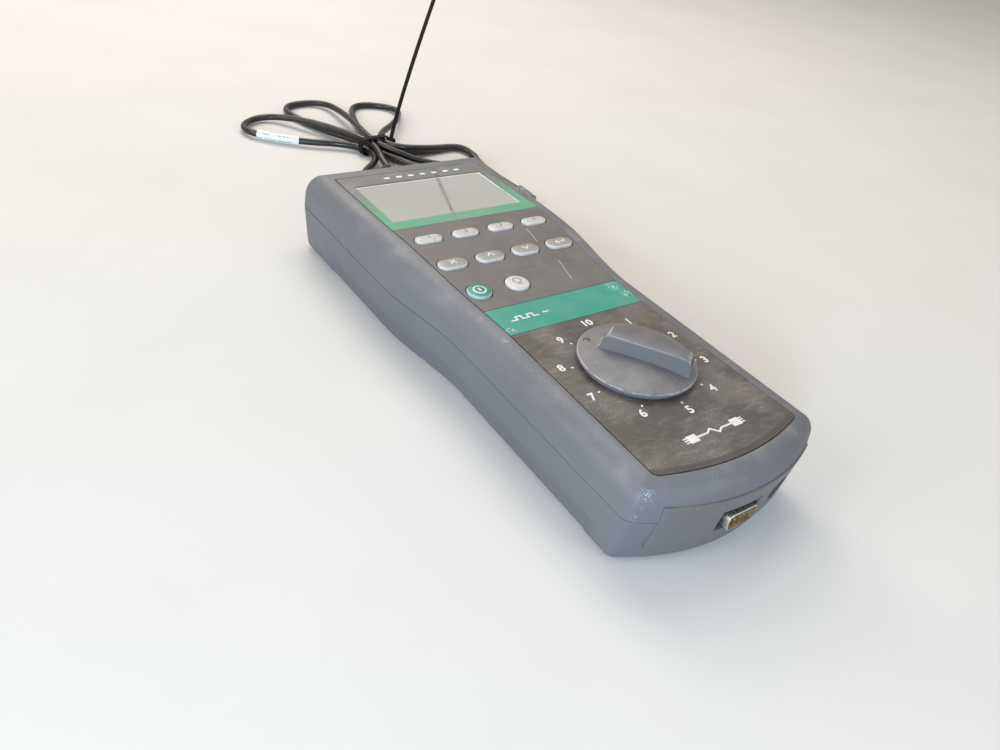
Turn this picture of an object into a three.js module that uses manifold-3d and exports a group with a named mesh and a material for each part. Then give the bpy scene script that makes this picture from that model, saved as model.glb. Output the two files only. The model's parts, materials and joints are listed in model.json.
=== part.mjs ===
// A hand-held network cable tester with its patch lead, as an assembly of separate pieces.
// Millimetres. +X is the tester's right, +Y points to its display end and +Z comes up out of its face.
// The origin is under the middle of the tester, on the plane that its back lies on.
import * as THREE from "three";
import { mergeVertices } from "three/addons/utils/BufferGeometryUtils.js";
import Module from "manifold-3d";

const wasm = await Module();
wasm.setup();

// Outline of the case, seen from above.
const HALF_LENGTH = 153;
const BODY_HALF = 53.5; // half width of the grip
const HEAD_HALF = 61.5; // half width where the head begins
const FLARE = 1.5; // how much wider each side of the head is at its far end
const NECK_LOW = -18; // the sides swell from the grip's width here
const NECK_HIGH = 50; // to the head's width here
const CORNER = 6; // plan radius of the corners beside the connectors
const HEAD_CORNER = 10; // and of those at the display end
const LEAST_ROUND = 2; // what a corner keeps, at least, where the outline is drawn in
const BOW_RADIUS = 100; // the connector end bulges to this radius
const END_LEAN = 0.12; // how far the connector end slopes back, per millimetre down from its lip
const LIP_Z = 37;

// Heights.
const FACE_Z = 45; // the face at the dial end
const PARTING_Z = 28; // where the two shells meet
const HEAD_RISE = 3.8; // the face swells this much at the display's lower edge
const HEAD_FALL = 1.6; // and falls this much again by the far end
const RISE_FROM = -15;
const RISE_TO = 63.5;
const GAP = 0.3; // clearance between neighbouring pieces
const WALL = 2.5;
const CEILING = FACE_Z - WALL - GAP; // inside of the face at the dial end
const SHOULDER = 11; // radius between the face and the sides
const HEEL = 6; // radius between the back and the sides
const SIDE_DRAFT = 0.5;
const BACK_DRAFT = 1.5;

// Face films, window and keys.
const FILM = 0.5;
const FILM_FLOOR = FACE_Z - FILM - GAP;
const FACE_TOP_Y = 135.2;
const WINDOW_Y = 65;
const BAND_TOP_Y = -14.9;
const BAND_Y = -36;
const FACE_LOW_Y = -133.7;
const FACE_BOW = 7; // sagitta of the film's curved lower edge
const FILM_HALVES = [41.3, 40, 40.8, 47.3, 48]; // half widths at the five heights above, from the low end up
const LENS = 1.5;
const KEY_COLUMN = 22.5;
const KEY_PROUD = 1.6;
const KEY_TRAVEL = 1.2;
const KEY_FLANGE = 1.2;
const KEY_STEM_Z = 39.9;
const SOFT_KEY = { width: 15.6, height: 7, y: 50.5 };
const MENU_KEY = { width: 16.4, height: 9, y: 26 };
const ROUND_KEY = { width: 12.6, height: 12.6, y: 0.5 };

// Selector dial.
const DIAL_Y = -76.25;
const DIAL_RADIUS = 27.1;
const DIAL_POSITIONS = 10;
const DIAL_TOP_Z = 58;
const DIAL_RIM_Z = 48.8;
const GRIP_HALF = 4.4;
const SHAFT_RADIUS = 3;

// Boards, battery and connectors.
const BOARD = 1.6;
const FRONT_BOARD_Z = 35.1;
const MAIN_BOARD_Z = 13.4;
const CONNECTOR_Z = 22.5;
const SERIAL_X = -4;
const POWER_X = 21;
const POWER_Z = 25;
const POWER_HOLE = 6;
const JACK_X = 20;
const PLATE_HALF = 42;
const PLATE_LOW = 12.5;
const PLATE_HIGH = 36.5;
const PIN_PITCH = 2.77;
const PIN_ROW = 1.42;
const PIN_RADIUS = 0.5;
const SCREWS = [[50, 138], [-50, 138], [42, -129], [-42, -129]];

// The lead: a modular plug in the port, loops gathered by a cable tie, and a second plug.
// It lies behind the display end, on the surface that the tester rests on.
const CORD_RADIUS = 2.5;
const CORD_STEPS = 96;
const PLUG = { half: 5.8, halfHeight: 4, length: 20.5 };
const BOOT_LENGTH = 25.4;
const TIE = { x: 44, y: 270, turn: 8 }; // the cable tie's middle, and its turn about +Z in degrees
const TIE_WIDTH = 4.6;
const TIE_THICK = 1.1;
const TAIL_KNEE = [31, 7, 56]; // the tail rises towards this point, from the head of the tie
const TAIL_TIP = [170, 88, 216]; // and leans out to end here
const LABEL = { from: 0.118, to: 0.145, radius: 3.5 }; // its ends, as shares of the lead's length

// The route's control points, from the near plug's boot to the far one's.
// The cord cuts the corners between them.
const LEAD_ROUTE = [
  // out of the boot and down to the surface
  [20, 184.5, 22.5],
  [20, 199, 22.5],
  [17, 213, 7],
  [14, 230, 2.6],
  // through the tie and round the left lobe, which carries the label
  [41, 251, 4.4],
  [37, 279, 4.4],
  [-10, 299, 4.1],
  [-43, 332, 4],
  [-12, 361, 2.6],
  [16, 327, 8],
  // back through the tie and round a short fold on the near side
  [40, 280, 9.2],
  [42.5, 260, 9.2],
  [36, 236, 7.5],
  [36, 200, 2.6],
  [72, 203, 2.6],
  [61, 238, 2.6],
  // the middle lobe
  [45.5, 260, 4.4],
  [42.5, 280, 4.4],
  [19, 328, 2.6],
  [7, 377, 2.6],
  [50, 383, 2.6],
  [51, 334, 8],
  // the second fold, to the right
  [45, 280, 9.2],
  [48, 260, 9.2],
  [76, 230, 2.6],
  [119, 224, 2.6],
  [120, 263, 2.6],
  [80, 256, 2.6],
  // the right lobe
  [51, 259, 4.4],
  [48.5, 281, 4.4],
  [56, 331, 2.6],
  [73, 373, 2.6],
  [111, 354, 2.6],
  [88, 313, 7],
  // over the second fold to the far plug, which lies on the surface
  [51.5, 281, 9.2],
  [55.5, 257, 9.2],
  [82, 247, 9.6],
  [108, 240, 12],
  [110, 220, 6.5],
  [110, 196, 4.4],
];

const colours = {
  caseGrey: [0x5f5f62, 0.62, 0],
  plateGrey: [0x6a6866, 0.6, 0],
  film: [0x6c6964, 0.5, 0],
  darkFilm: [0x4b443e, 0.55, 0],
  teal: [0x2f9c80, 0.5, 0],
  glass: [0xbcbeb6, 0.15, 0],
  ivory: [0xd9d6cb, 0.55, 0],
  keyGrey: [0xa9a6a2, 0.55, 0],
  rubber: [0x2c2c2e, 0.85, 0],
  board: [0x1f5a38, 0.5, 0],
  metal: [0xb9b5aa, 0.3, 1],
  gold: [0xc8a24a, 0.3, 1],
  black: [0x1c1a1b, 0.5, 0],
  cord: [0x1b1819, 0.45, 0],
  label: [0xdfe3e8, 0.5, 0],
  clearPlug: [0xc9cdca, 0.15, 0],
  blueWrap: [0x27406e, 0.45, 0],
};

const tester = new THREE.Group();

function add(name, geometry, [colour, roughness, metalness], parent = tester) {
  const material = new THREE.MeshStandardMaterial({ color: colour, roughness, metalness });
  const mesh = new THREE.Mesh(geometry, material);
  mesh.name = name;
  parent.add(mesh);
  return mesh;
}

// ---- Solids ----

function solidOf(geometry) {
  const bare = geometry.clone();
  bare.deleteAttribute("normal");
  bare.deleteAttribute("uv");
  const merged = mergeVertices(bare, 1e-4);
  return new wasm.Manifold(
    new wasm.Mesh({
      numProp: 3,
      vertProperties: new Float32Array(merged.attributes.position.array),
      triVerts: new Uint32Array(merged.index.array),
    }),
  );
}

function geometryOf(solid) {
  const mesh = solid.getMesh();
  const geometry = new THREE.BufferGeometry();
  geometry.setAttribute("position", new THREE.BufferAttribute(new Float32Array(mesh.vertProperties), 3));
  geometry.setIndex(new THREE.BufferAttribute(new Uint32Array(mesh.triVerts), 1));
  geometry.computeVertexNormals();
  return geometry;
}

const combine = (how, first, others) =>
  geometryOf(others.flat().reduce((solid, other) => solid[how](solidOf(other)), solidOf(first)));
const cut = (first, ...others) => combine("subtract", first, others);
const join = (first, ...others) => combine("add", first, others);
const common = (first, ...others) => combine("intersect", first, others);

function block(x0, x1, y0, y1, z0, z1) {
  const box = new THREE.BoxGeometry(x1 - x0, y1 - y0, z1 - z0);
  return box.translate((x0 + x1) / 2, (y0 + y1) / 2, (z0 + z1) / 2);
}

function post(x, y, radius, z0, z1, sides = 16) {
  const upright = new THREE.CylinderGeometry(radius, radius, z1 - z0, sides).rotateX(Math.PI / 2);
  return upright.translate(x, y, (z0 + z1) / 2);
}

// A round bar along Y.
function bar(x, z, radius, y0, y1, sides = 16) {
  return new THREE.CylinderGeometry(radius, radius, y1 - y0, sides).translate(x, (y0 + y1) / 2, z);
}

function prism(shape, z0, z1, segments = 4) {
  const options = { depth: z1 - z0, bevelEnabled: false, curveSegments: segments };
  return new THREE.ExtrudeGeometry(shape, options).translate(0, 0, z0);
}

// The same, standing along Y: the shape's own y becomes height.
function prismAlongY(shape, y0, y1, segments = 4) {
  return prism(shape, -y1, -y0, segments).rotateX(Math.PI / 2);
}

// Turns a prism so that its shape stands upright along Y and its depth runs across X.
function acrossX(geometry) {
  const basis = [[0, 1, 0], [0, 0, 1], [1, 0, 0]].map((axis) => new THREE.Vector3(...axis));
  return geometry.applyMatrix4(new THREE.Matrix4().makeBasis(...basis));
}

function roundedRectangle(halfX, halfY, radius, x = 0, y = 0) {
  const shape = new THREE.Shape();
  shape.absarc(x + halfX - radius, y - halfY + radius, radius, -Math.PI / 2, 0);
  shape.absarc(x + halfX - radius, y + halfY - radius, radius, 0, Math.PI / 2);
  shape.absarc(x - halfX + radius, y + halfY - radius, radius, Math.PI / 2, Math.PI);
  shape.absarc(x - halfX + radius, y - halfY + radius, radius, Math.PI, 1.5 * Math.PI);
  return shape;
}

// ---- The case's form ----

const clamp01 = (t) => Math.min(1, Math.max(0, t));
const smooth = (t) => clamp01(t) ** 2 * (3 - 2 * clamp01(t));

function halfWidth(y) {
  const neck = smooth((y - NECK_LOW) / (NECK_HIGH - NECK_LOW));
  const flare = clamp01((y - NECK_HIGH) / (HALF_LENGTH - NECK_HIGH));
  return BODY_HALF + (HEAD_HALF - BODY_HALF) * neck + FLARE * flare;
}

// How far the face stands above its height at the dial end.
function crown(y) {
  const fall = clamp01((y - RISE_TO) / (FACE_TOP_Y - RISE_TO));
  return HEAD_RISE * smooth((y - RISE_FROM) / (RISE_TO - RISE_FROM)) - HEAD_FALL * fall;
}

function arc(cx, cy, radius, from, to, steps) {
  return Array.from({ length: steps + 1 }, (_, i) => {
    const a = from + ((to - from) * i) / steps;
    return [cx + radius * Math.cos(a), cy + radius * Math.sin(a)];
  });
}

// Half of the case's outline drawn in by inset, from the middle of the connector end up the right side.
function rightHalf(inset, z) {
  const lean = END_LEAN * Math.max(0, LIP_Z - z);
  const bowY = -HALF_LENGTH + BOW_RADIUS + lean;
  const round = Math.max(CORNER - inset, LEAST_ROUND);
  const cornerX = BODY_HALF - inset - round;
  const bowReach = BOW_RADIUS - inset - round;
  const turn = Math.asin(cornerX / bowReach);
  const cornerY = bowY - bowReach * Math.cos(turn);
  const headRound = Math.max(HEAD_CORNER - inset, LEAST_ROUND);
  const topY = HALF_LENGTH - inset - headRound;
  const sideSteps = 14;
  const side = Array.from({ length: sideSteps - 1 }, (_, i) => {
    const y = cornerY + ((topY - cornerY) * (i + 1)) / sideSteps;
    return [halfWidth(y) - inset, y];
  });
  return [
    ...arc(0, bowY, BOW_RADIUS - inset, -Math.PI / 2, -Math.PI / 2 + turn, 5).slice(0, -1),
    ...arc(cornerX, cornerY, round, -Math.PI / 2 + turn, 0, 4),
    ...side,
    ...arc(halfWidth(topY) - inset - headRound, topY, headRound, 0, Math.PI / 2, 4),
  ];
}

// Joins level outlines into one closed skin.
// Each level is { z, inset, lift }, lift being its share of the crown.
function loft(levels) {
  const rings = levels.map(({ z, inset, lift = 0 }) => {
    const right = rightHalf(inset, z).map(([x, y]) => [x, y, z + lift * crown(y)]);
    const left = right.slice(1).reverse();
    return [...right, ...left.map(([x, y, height]) => [-x, y, height])];
  });
  const count = rings[0].length;
  const half = (count + 1) / 2;
  const index = [];
  for (let level = 0; level < rings.length - 1; level++)
    for (let i = 0; i < count; i++) {
      const a = level * count + i;
      const b = level * count + ((i + 1) % count);
      index.push(a, b, b + count, a, b + count, a + count);
    }
  const topStart = (rings.length - 1) * count;
  for (let i = 0; i < half - 1; i++) {
    const right = [i, i + 1];
    const left = [(count - i) % count, count - i - 1];
    for (const [start, flip] of [[0, true], [topStart, false]]) {
      const [a, b, c, d] = [right[0], right[1], left[1], left[0]].map((n) => n + start);
      const faces = i === 0 ? [[a, b, c]] : [[a, b, c], [a, c, d]];
      for (const face of faces) index.push(...(flip ? face.reverse() : face));
    }
  }
  const geometry = new THREE.BufferGeometry();
  geometry.setAttribute("position", new THREE.Float32BufferAttribute(rings.flat(2), 3));
  geometry.setIndex(index);
  return geometry;
}

// Levels of a rounded shoulder of the given radius, from its foot up to its top.
function shoulder(foot, inset, radius, steps, lift) {
  return Array.from({ length: steps + 1 }, (_, i) => {
    const a = (Math.PI / 2) * (i / steps);
    return {
      z: foot + radius * Math.sin(a),
      inset: inset + radius * (1 - Math.cos(a)),
      lift: lift * (i / steps),
    };
  });
}

const flipped = (levels, plane) => levels.map(({ z, inset }) => ({ z: plane - z, inset })).reverse();

// A slab that follows the face's crown, between two heights given for the dial end.
function crownSlab(low, high, follow = true) {
  const stations = rightHalf(0, FACE_Z).map(([, y]) => y);
  const shape = new THREE.Shape();
  stations.forEach((y, i) => (i ? shape.lineTo(y, low + crown(y)) : shape.moveTo(y, low + crown(y))));
  stations.reverse().forEach((y) => shape.lineTo(y, follow ? high + crown(y) : high));
  const reach = 2 * HEAD_HALF;
  return acrossX(prism(shape, -reach, reach));
}

// Outline of the recess that the face's films and window lie in, between two heights along Y.
function faceShape(y0, y1, margin) {
  const [low, band, bandTop, window, top] = FILM_HALVES;
  const corners = [
    [low, FACE_LOW_Y],
    [band, BAND_Y],
    [bandTop, BAND_TOP_Y],
    [window, WINDOW_Y],
    [top, FACE_TOP_Y],
  ];
  const widthAt = (y) => {
    const next = corners.findIndex((corner) => corner[1] >= y);
    const i = Math.min(corners.length - 1, Math.max(1, next === -1 ? corners.length - 1 : next));
    const [[w0, a], [w1, b]] = [corners[i - 1], corners[i]];
    return w0 + ((w1 - w0) * (y - a)) / (b - a);
  };
  const between = corners.map(([, y]) => y).filter((y) => y > y0 && y < y1);
  const right = [
    [widthAt(y0) + margin, y0 - margin],
    ...between.map((y) => [widthAt(y) + margin, y]),
    [widthAt(y1) + margin, y1 + margin],
  ];
  const shape = new THREE.Shape();
  const [lowX, lowY] = right[0];
  shape.moveTo(-lowX, lowY);
  if (y0 === FACE_LOW_Y) shape.quadraticCurveTo(0, lowY - 2 * FACE_BOW, lowX, lowY);
  right.forEach(([x, y]) => shape.lineTo(x, y));
  right.reverse().forEach(([x, y]) => shape.lineTo(-x, y));
  return shape;
}

// A part of the face between two heights along Y, drawn in or grown by a margin.
const facePrism = (y0, y1, margin) => prism(faceShape(y0, y1, margin), 0, 3 * FACE_Z, 8);

const film = (y0, y1) => common(crownSlab(FACE_Z - FILM, FACE_Z), facePrism(y0, y1, 0));

// ---- Keys ----

const keyX = (column) => (column - 1.5) * KEY_COLUMN;
const KEYS = [
  { name: "soft_key_1", column: 0, form: SOFT_KEY, colour: colours.ivory },
  { name: "soft_key_2", column: 1, form: SOFT_KEY, colour: colours.ivory },
  { name: "soft_key_3", column: 2, form: SOFT_KEY, colour: colours.ivory },
  { name: "soft_key_4", column: 3, form: SOFT_KEY, colour: colours.ivory },
  { name: "escape_key", column: 0, form: MENU_KEY, colour: colours.keyGrey },
  { name: "up_key", column: 1, form: MENU_KEY, colour: colours.keyGrey },
  { name: "down_key", column: 2, form: MENU_KEY, colour: colours.keyGrey },
  { name: "enter_key", column: 3, form: MENU_KEY, colour: colours.keyGrey },
  { name: "power_key", column: 0, form: ROUND_KEY, colour: colours.teal },
  { name: "light_key", column: 1, form: ROUND_KEY, colour: colours.ivory },
];

// A key's outline: a bar with half-round ends, or a circle where its width and height are the same.
function keyShape({ column, form }, margin) {
  const radius = form.height / 2 + margin;
  const reach = (form.width - form.height) / 2;
  const shape = new THREE.Shape();
  if (reach === 0) return shape.absarc(keyX(column), form.y, radius, 0, 2 * Math.PI);
  shape.absarc(keyX(column) + reach, form.y, radius, -Math.PI / 2, Math.PI / 2);
  shape.absarc(keyX(column) - reach, form.y, radius, Math.PI / 2, 1.5 * Math.PI);
  return shape;
}

function keyCap(key) {
  const low = key.form.y - key.form.height / 2 - 2;
  const base = CEILING + crown(low) - KEY_FLANGE - 1.5 * GAP;
  const top = FACE_Z + crown(key.form.y) + KEY_PROUD;
  const edge = 0.5;
  const cap = new THREE.ExtrudeGeometry(keyShape(key, 0), {
    depth: top - base - edge,
    bevelThickness: edge,
    bevelSize: edge,
    bevelOffset: -edge,
    bevelSegments: 1,
    curveSegments: 4,
  }).translate(0, 0, base);
  const stem = post(keyX(key.column), key.form.y, 2.2, KEY_STEM_Z, base + 1, 8);
  return join(cap, prism(keyShape(key, 1), base, base + KEY_FLANGE, 4), stem);
}

// ---- Shells ----

// A band of the end wall's thickness, for a connector plate: two skins, cut to the plate's window.
function endPlate(end) {
  const outer = loft([{ z: PLATE_LOW - 1, inset: GAP }, { z: PLATE_HIGH + 1, inset: GAP }]);
  const inner = loft([{ z: PLATE_LOW - 2, inset: WALL }, { z: PLATE_HIGH + 2, inset: WALL }]);
  return common(cut(outer, inner), plateWindow(end, 0));
}

function plateWindow(end, margin) {
  const half = PLATE_HALF + margin;
  const far = end * (HALF_LENGTH + 1);
  const near = end * (end > 0 ? HALF_LENGTH - 2 * WALL : HALF_LENGTH - 20);
  const [low, high] = [PLATE_LOW - margin, PLATE_HIGH + margin];
  return block(-half, half, Math.min(near, far), Math.max(near, far), low, high);
}

const bosses = (radius, z0, z1) => SCREWS.map(([x, y]) => post(x, y, radius, z0, z1, 12));

function topShell() {
  const foot = PARTING_Z + GAP / 2;
  const outside = loft([
    { z: foot, inset: 0 },
    ...shoulder(FACE_Z - SHOULDER, SIDE_DRAFT, SHOULDER, 5, 1),
  ]);
  const inner = SHOULDER - WALL;
  const inside = loft([
    { z: foot - 1, inset: WALL },
    ...shoulder(CEILING - inner, SIDE_DRAFT + WALL, inner, 3, 1),
  ]);
  const seat = (floor, y0) =>
    common(crownSlab(floor, 2 * FACE_Z, false), facePrism(y0, FACE_TOP_Y, GAP));
  const recess = seat(FILM_FLOOR, FACE_LOW_Y);
  const lensSeat = seat(FACE_Z - LENS - GAP, WINDOW_Y);
  const posts = common(join(...bosses(3.6, foot, FACE_Z)), crownSlab(-FACE_Z, CEILING + 1));
  const shell = join(cut(outside, inside), posts);
  return cut(
    shell,
    recess,
    lensSeat,
    block(-43.5, 43.5, WINDOW_Y + 5, FACE_TOP_Y - 8, 30, 2 * FACE_Z),
    KEYS.map((key) => prism(keyShape(key, 0.35), 30, 2 * FACE_Z, 4)),
    post(0, DIAL_Y, SHAFT_RADIUS + 1.2, 30, 2 * FACE_Z, 20),
    plateWindow(1, GAP),
    plateWindow(-1, GAP),
    bosses(1.4, 0, 38),
  );
}

const DOOR = { half: 44, y0: -14, y1: 110, thick: 2.2 };

function bottomShell() {
  const head = PARTING_Z - GAP / 2;
  const outside = loft([
    ...flipped(shoulder(0, BACK_DRAFT, HEEL, 4, 0), HEEL),
    { z: head, inset: 0 },
  ]);
  const innerHeel = HEEL - WALL;
  const cavity = loft([
    ...flipped(shoulder(0, BACK_DRAFT + WALL, innerHeel, 3, 0), HEEL),
    { z: head + 1, inset: WALL },
  ]);
  const inside = cut(cavity, gripRelief(1, WALL), gripRelief(-1, WALL));
  // The door's opening, grown by a margin, with a ledge round it that the door rests against.
  const opening = (margin, z0, z1) =>
    block(-DOOR.half - margin, DOOR.half + margin, DOOR.y0 - margin, DOOR.y1 + margin, z0, z1);
  const ledge = 3;
  const ledgeFrame = cut(opening(ledge, 1, WALL + 2.5), opening(-ledge, 0, WALL + 3));
  const shell = join(cut(outside, inside), bosses(3.6, 1, head));
  const opened = cut(shell, opening(GAP, -1, WALL + 1));
  return cut(
    join(opened, ledgeFrame, post(0, DOOR.y0 + 2, 4, 1, 9, 16)),
    opening(GAP, -1, DOOR.thick + GAP),
    gripRelief(1),
    gripRelief(-1),
    plateWindow(1, GAP),
    plateWindow(-1, GAP),
    bosses(1.7, -1, head + 1),
    bosses(3.3, -1, 4),
    post(0, DOOR.y0 + 5, 1.4, -1, 8, 12),
  );
}

// The lower edge of each side is cut back, with sloping ends, to give the fingers a hold.
// The margin grows the cut by a wall's thickness, to keep the inside of the shell clear of it.
function gripRelief(side, margin = 0) {
  const depth = 4.5 + margin;
  const [y0, y1, top] = [-124 - margin, 118 + margin, 13 + margin];
  const slope = 10;
  const reach = HEAD_HALF + 10;
  const steps = 10;
  const shape = new THREE.Shape();
  shape.moveTo(side * reach, y0 - slope);
  shape.lineTo(side * halfWidth(y0), y0);
  for (let i = 0; i <= steps; i++) {
    const y = y0 + slope + ((y1 - y0 - 2 * slope) * i) / steps;
    shape.lineTo(side * (halfWidth(y) - depth), y);
  }
  shape.lineTo(side * halfWidth(y1), y1);
  shape.lineTo(side * reach, y1 + slope);
  return prism(shape, -1, top);
}

function batteryDoor() {
  const { half, y0, y1, thick } = DOOR;
  const panel = prism(roundedRectangle(half, (y1 - y0) / 2, 1, 0, (y0 + y1) / 2), 0, thick);
  const ribs = Array.from({ length: 5 }, (_, i) => block(-30, 30, 80 + 5 * i, 82 + 5 * i, -1, 0.7));
  return cut(panel, ribs, post(0, y0 + 5, 1.7, -1, thick + 1, 12), post(0, y0 + 5, 3.2, -1, 1, 12));
}

// ---- Face ----

function dialFilm() {
  return cut(film(FACE_LOW_Y, BAND_Y - GAP), post(0, DIAL_Y, SHAFT_RADIUS + 1.5, 0, 2 * FACE_Z, 20));
}

function keyFilm() {
  const holes = KEYS.map((key) => prism(keyShape(key, 0.6), 0, 2 * FACE_Z, 4));
  return cut(film(BAND_TOP_Y + GAP, WINDOW_Y - GAP), holes);
}

function displayWindow() {
  return common(crownSlab(FACE_Z - LENS, FACE_Z), prism(faceShape(WINDOW_Y, FACE_TOP_Y, 0), 0, 2 * FACE_Z));
}

// ---- Dial ----

function dialKnob() {
  const profile = [
    [0, FACE_Z + 0.5],
    [DIAL_RADIUS - 1.4, FACE_Z + 0.5],
    [DIAL_RADIUS - 1.2, DIAL_RIM_Z - 1.8],
    [DIAL_RADIUS, DIAL_RIM_Z - 1.5],
    [DIAL_RADIUS, DIAL_RIM_Z - 0.5],
    [DIAL_RADIUS - 0.6, DIAL_RIM_Z],
    [GRIP_HALF, DIAL_RIM_Z + 2.2],
    [0, DIAL_RIM_Z + 2.2],
  ].map(([r, z]) => new THREE.Vector2(r, z));
  const disc = new THREE.LatheGeometry(profile, 40).rotateX(Math.PI / 2);
  // The grip falls steeply at both ends. Its +Y end stops short of the rim, to leave room for the pointer.
  const reach = DIAL_RADIUS - 1.5;
  const foot = DIAL_RADIUS - 9;
  const side = new THREE.Shape();
  side.moveTo(-reach + 1, FACE_Z + 1.5);
  side.lineTo(foot, FACE_Z + 1.5);
  side.lineTo(foot, DIAL_RIM_Z + 1.2);
  side.quadraticCurveTo(foot - 1.6, DIAL_RIM_Z + 2.4, foot - 2.6, DIAL_TOP_Z - 2.4);
  side.quadraticCurveTo(foot - 3.2, DIAL_TOP_Z, foot - 6, DIAL_TOP_Z);
  side.lineTo(-reach + 8, DIAL_TOP_Z);
  side.quadraticCurveTo(-reach + 3.5, DIAL_TOP_Z, -reach + 1, DIAL_RIM_Z + 1.2);
  const edge = 0.7;
  const grip = new THREE.ExtrudeGeometry(side, {
    depth: 2 * (GRIP_HALF - edge),
    bevelThickness: edge,
    bevelSize: edge,
    bevelOffset: -edge,
    bevelSegments: 1,
    curveSegments: 4,
  }).translate(0, 0, -GRIP_HALF + edge);
  acrossX(grip);
  const socket = post(0, 0, SHAFT_RADIUS + GAP, 0, DIAL_RIM_Z, 16);
  return cut(join(disc, grip), socket);
}

// ---- Connectors ----

// The D outline of a nine-way connector, seen from outside, widest at the top.
function dShape(width, height, radius) {
  const shape = new THREE.Shape();
  const slant = (10 * Math.PI) / 180;
  const [x, y] = [width / 2 - radius, height / 2 - radius];
  const low = x - 2 * y * Math.tan(slant);
  shape.absarc(x, y, radius, -slant, Math.PI / 2);
  shape.absarc(-x, y, radius, Math.PI / 2, Math.PI + slant);
  shape.absarc(-low, -y, radius, Math.PI + slant, 1.5 * Math.PI);
  shape.absarc(low, -y, radius, 1.5 * Math.PI, 2 * Math.PI - slant);
  return shape;
}

const SERIAL_RIM = -HALF_LENGTH;
const SERIAL_FLANGE = SERIAL_RIM + 7.6;

const atSerial = (geometry) => geometry.translate(SERIAL_X, 0, CONNECTOR_Z);

function serialShell() {
  const shell = prismAlongY(dShape(16.9, 8.4, 2.6), SERIAL_RIM, SERIAL_FLANGE + 0.6, 3);
  const flange = prismAlongY(roundedRectangle(15.4, 6.2, 1), SERIAL_FLANGE, SERIAL_FLANGE + 1.2, 2);
  const bore = prismAlongY(dShape(16.1, 7.6, 2.2), SERIAL_RIM - 1, SERIAL_FLANGE + 2, 3);
  const holes = [-12.5, 12.5].map((x) => bar(x, 0, 1.6, SERIAL_FLANGE - 1, SERIAL_FLANGE + 2, 12));
  return atSerial(cut(join(shell, flange), bore, holes));
}

function serialInsulator() {
  const plug = prismAlongY(dShape(15.5, 7, 1.9), SERIAL_FLANGE - 1.2, SERIAL_FLANGE + 2, 3);
  const foot = MAIN_BOARD_Z + BOARD + GAP - CONNECTOR_Z;
  const housing = block(-9.5, 9.5, SERIAL_FLANGE + 1.5, SERIAL_FLANGE + 9, foot, 5.5);
  const [front, back] = [SERIAL_FLANGE - 3, SERIAL_FLANGE + 7];
  const holes = serialPins().map(({ x, z }) => bar(x, z, PIN_RADIUS + GAP, front, back, 8));
  return atSerial(cut(join(plug, housing), holes));
}

function serialPins() {
  return [5, 4].flatMap((count, row) =>
    Array.from({ length: count }, (_, i) => ({
      x: (i - (count - 1) / 2) * PIN_PITCH,
      z: row ? -PIN_ROW : PIN_ROW,
    })),
  );
}

function connectorPlate() {
  const [front, back] = [-HALF_LENGTH - 5, -HALF_LENGTH + 20];
  const half = 10.5;
  return cut(
    endPlate(-1),
    block(SERIAL_X - half, SERIAL_X + half, front, back, CONNECTOR_Z - 6, CONNECTOR_Z + 6.2),
    bar(POWER_X, POWER_Z, POWER_HOLE, front, back, 24),
  );
}

function powerJack() {
  const y0 = -HALF_LENGTH + 10;
  const body = block(POWER_X - 7, POWER_X + 7, y0, y0 + 13, MAIN_BOARD_Z + BOARD + GAP, POWER_Z + 6);
  return cut(body, bar(POWER_X, POWER_Z, 3.2, y0 - 1, y0 + 9, 20));
}

function portPlate() {
  const [half, halfHeight] = [7.2, 5.6];
  const [back, front] = [HALF_LENGTH - 10, HALF_LENGTH + 5];
  const [low, high] = [CONNECTOR_Z - halfHeight, CONNECTOR_Z + halfHeight];
  return cut(endPlate(1), block(JACK_X - half, JACK_X + half, back, front, low, high));
}

const JACK_FACE = HALF_LENGTH - WALL - GAP;

// A modular jack: a pocket for the plug, with a slot above it for the plug's latch.
function networkJack() {
  const centred = (half, depth, front, z0, z1) =>
    block(JACK_X - half, JACK_X + half, JACK_FACE - depth, front, z0, z1);
  const body = centred(8.1, 16, JACK_FACE, MAIN_BOARD_Z + BOARD + GAP, CONNECTOR_Z + 6.6);
  const mouth = centred(6.2, 13, JACK_FACE + 1, CONNECTOR_Z - 4.5, CONNECTOR_Z + 4.5);
  const latchSlot = centred(3.4, 13, JACK_FACE + 1, CONNECTOR_Z, CONNECTOR_Z + 5.9);
  return cut(body, mouth, latchSlot);
}

// ---- Boards and switches ----

// The rubber sheet behind the keys: a flat web with a low dome under each stem.
const MAT_Z = FRONT_BOARD_Z + BOARD + GAP;
const MAT = { half: 44, y0: -9, y1: 58, thick: 1 };

function keyMat() {
  const web = block(-MAT.half, MAT.half, MAT.y0, MAT.y1, MAT_Z, MAT_Z + MAT.thick);
  const domeTop = KEY_STEM_Z - KEY_TRAVEL - 0.2;
  return join(web, KEYS.map(({ column, form }) => post(keyX(column), form.y, 2.6, MAT_Z, domeTop, 8)));
}

// One long board under the face carries the keys' contacts, the display and the dial's switch.
function frontBoard() {
  const outline = new THREE.Shape();
  const points = [
    [-38, -122],
    [38, -122],
    [46, -112],
    [46, -20],
    [52, 10],
    [52, 128],
    [40, 133],
  ];
  points.forEach(([x, y], i) => (i ? outline.lineTo(x, y) : outline.moveTo(x, y)));
  outline.lineTo(-40, 133);
  points.slice(2, -1).reverse().forEach(([x, y]) => outline.lineTo(-x, y));
  return prism(outline, FRONT_BOARD_Z, FRONT_BOARD_Z + BOARD);
}

const SWITCH_TOP = CEILING - 0.6;

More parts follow.
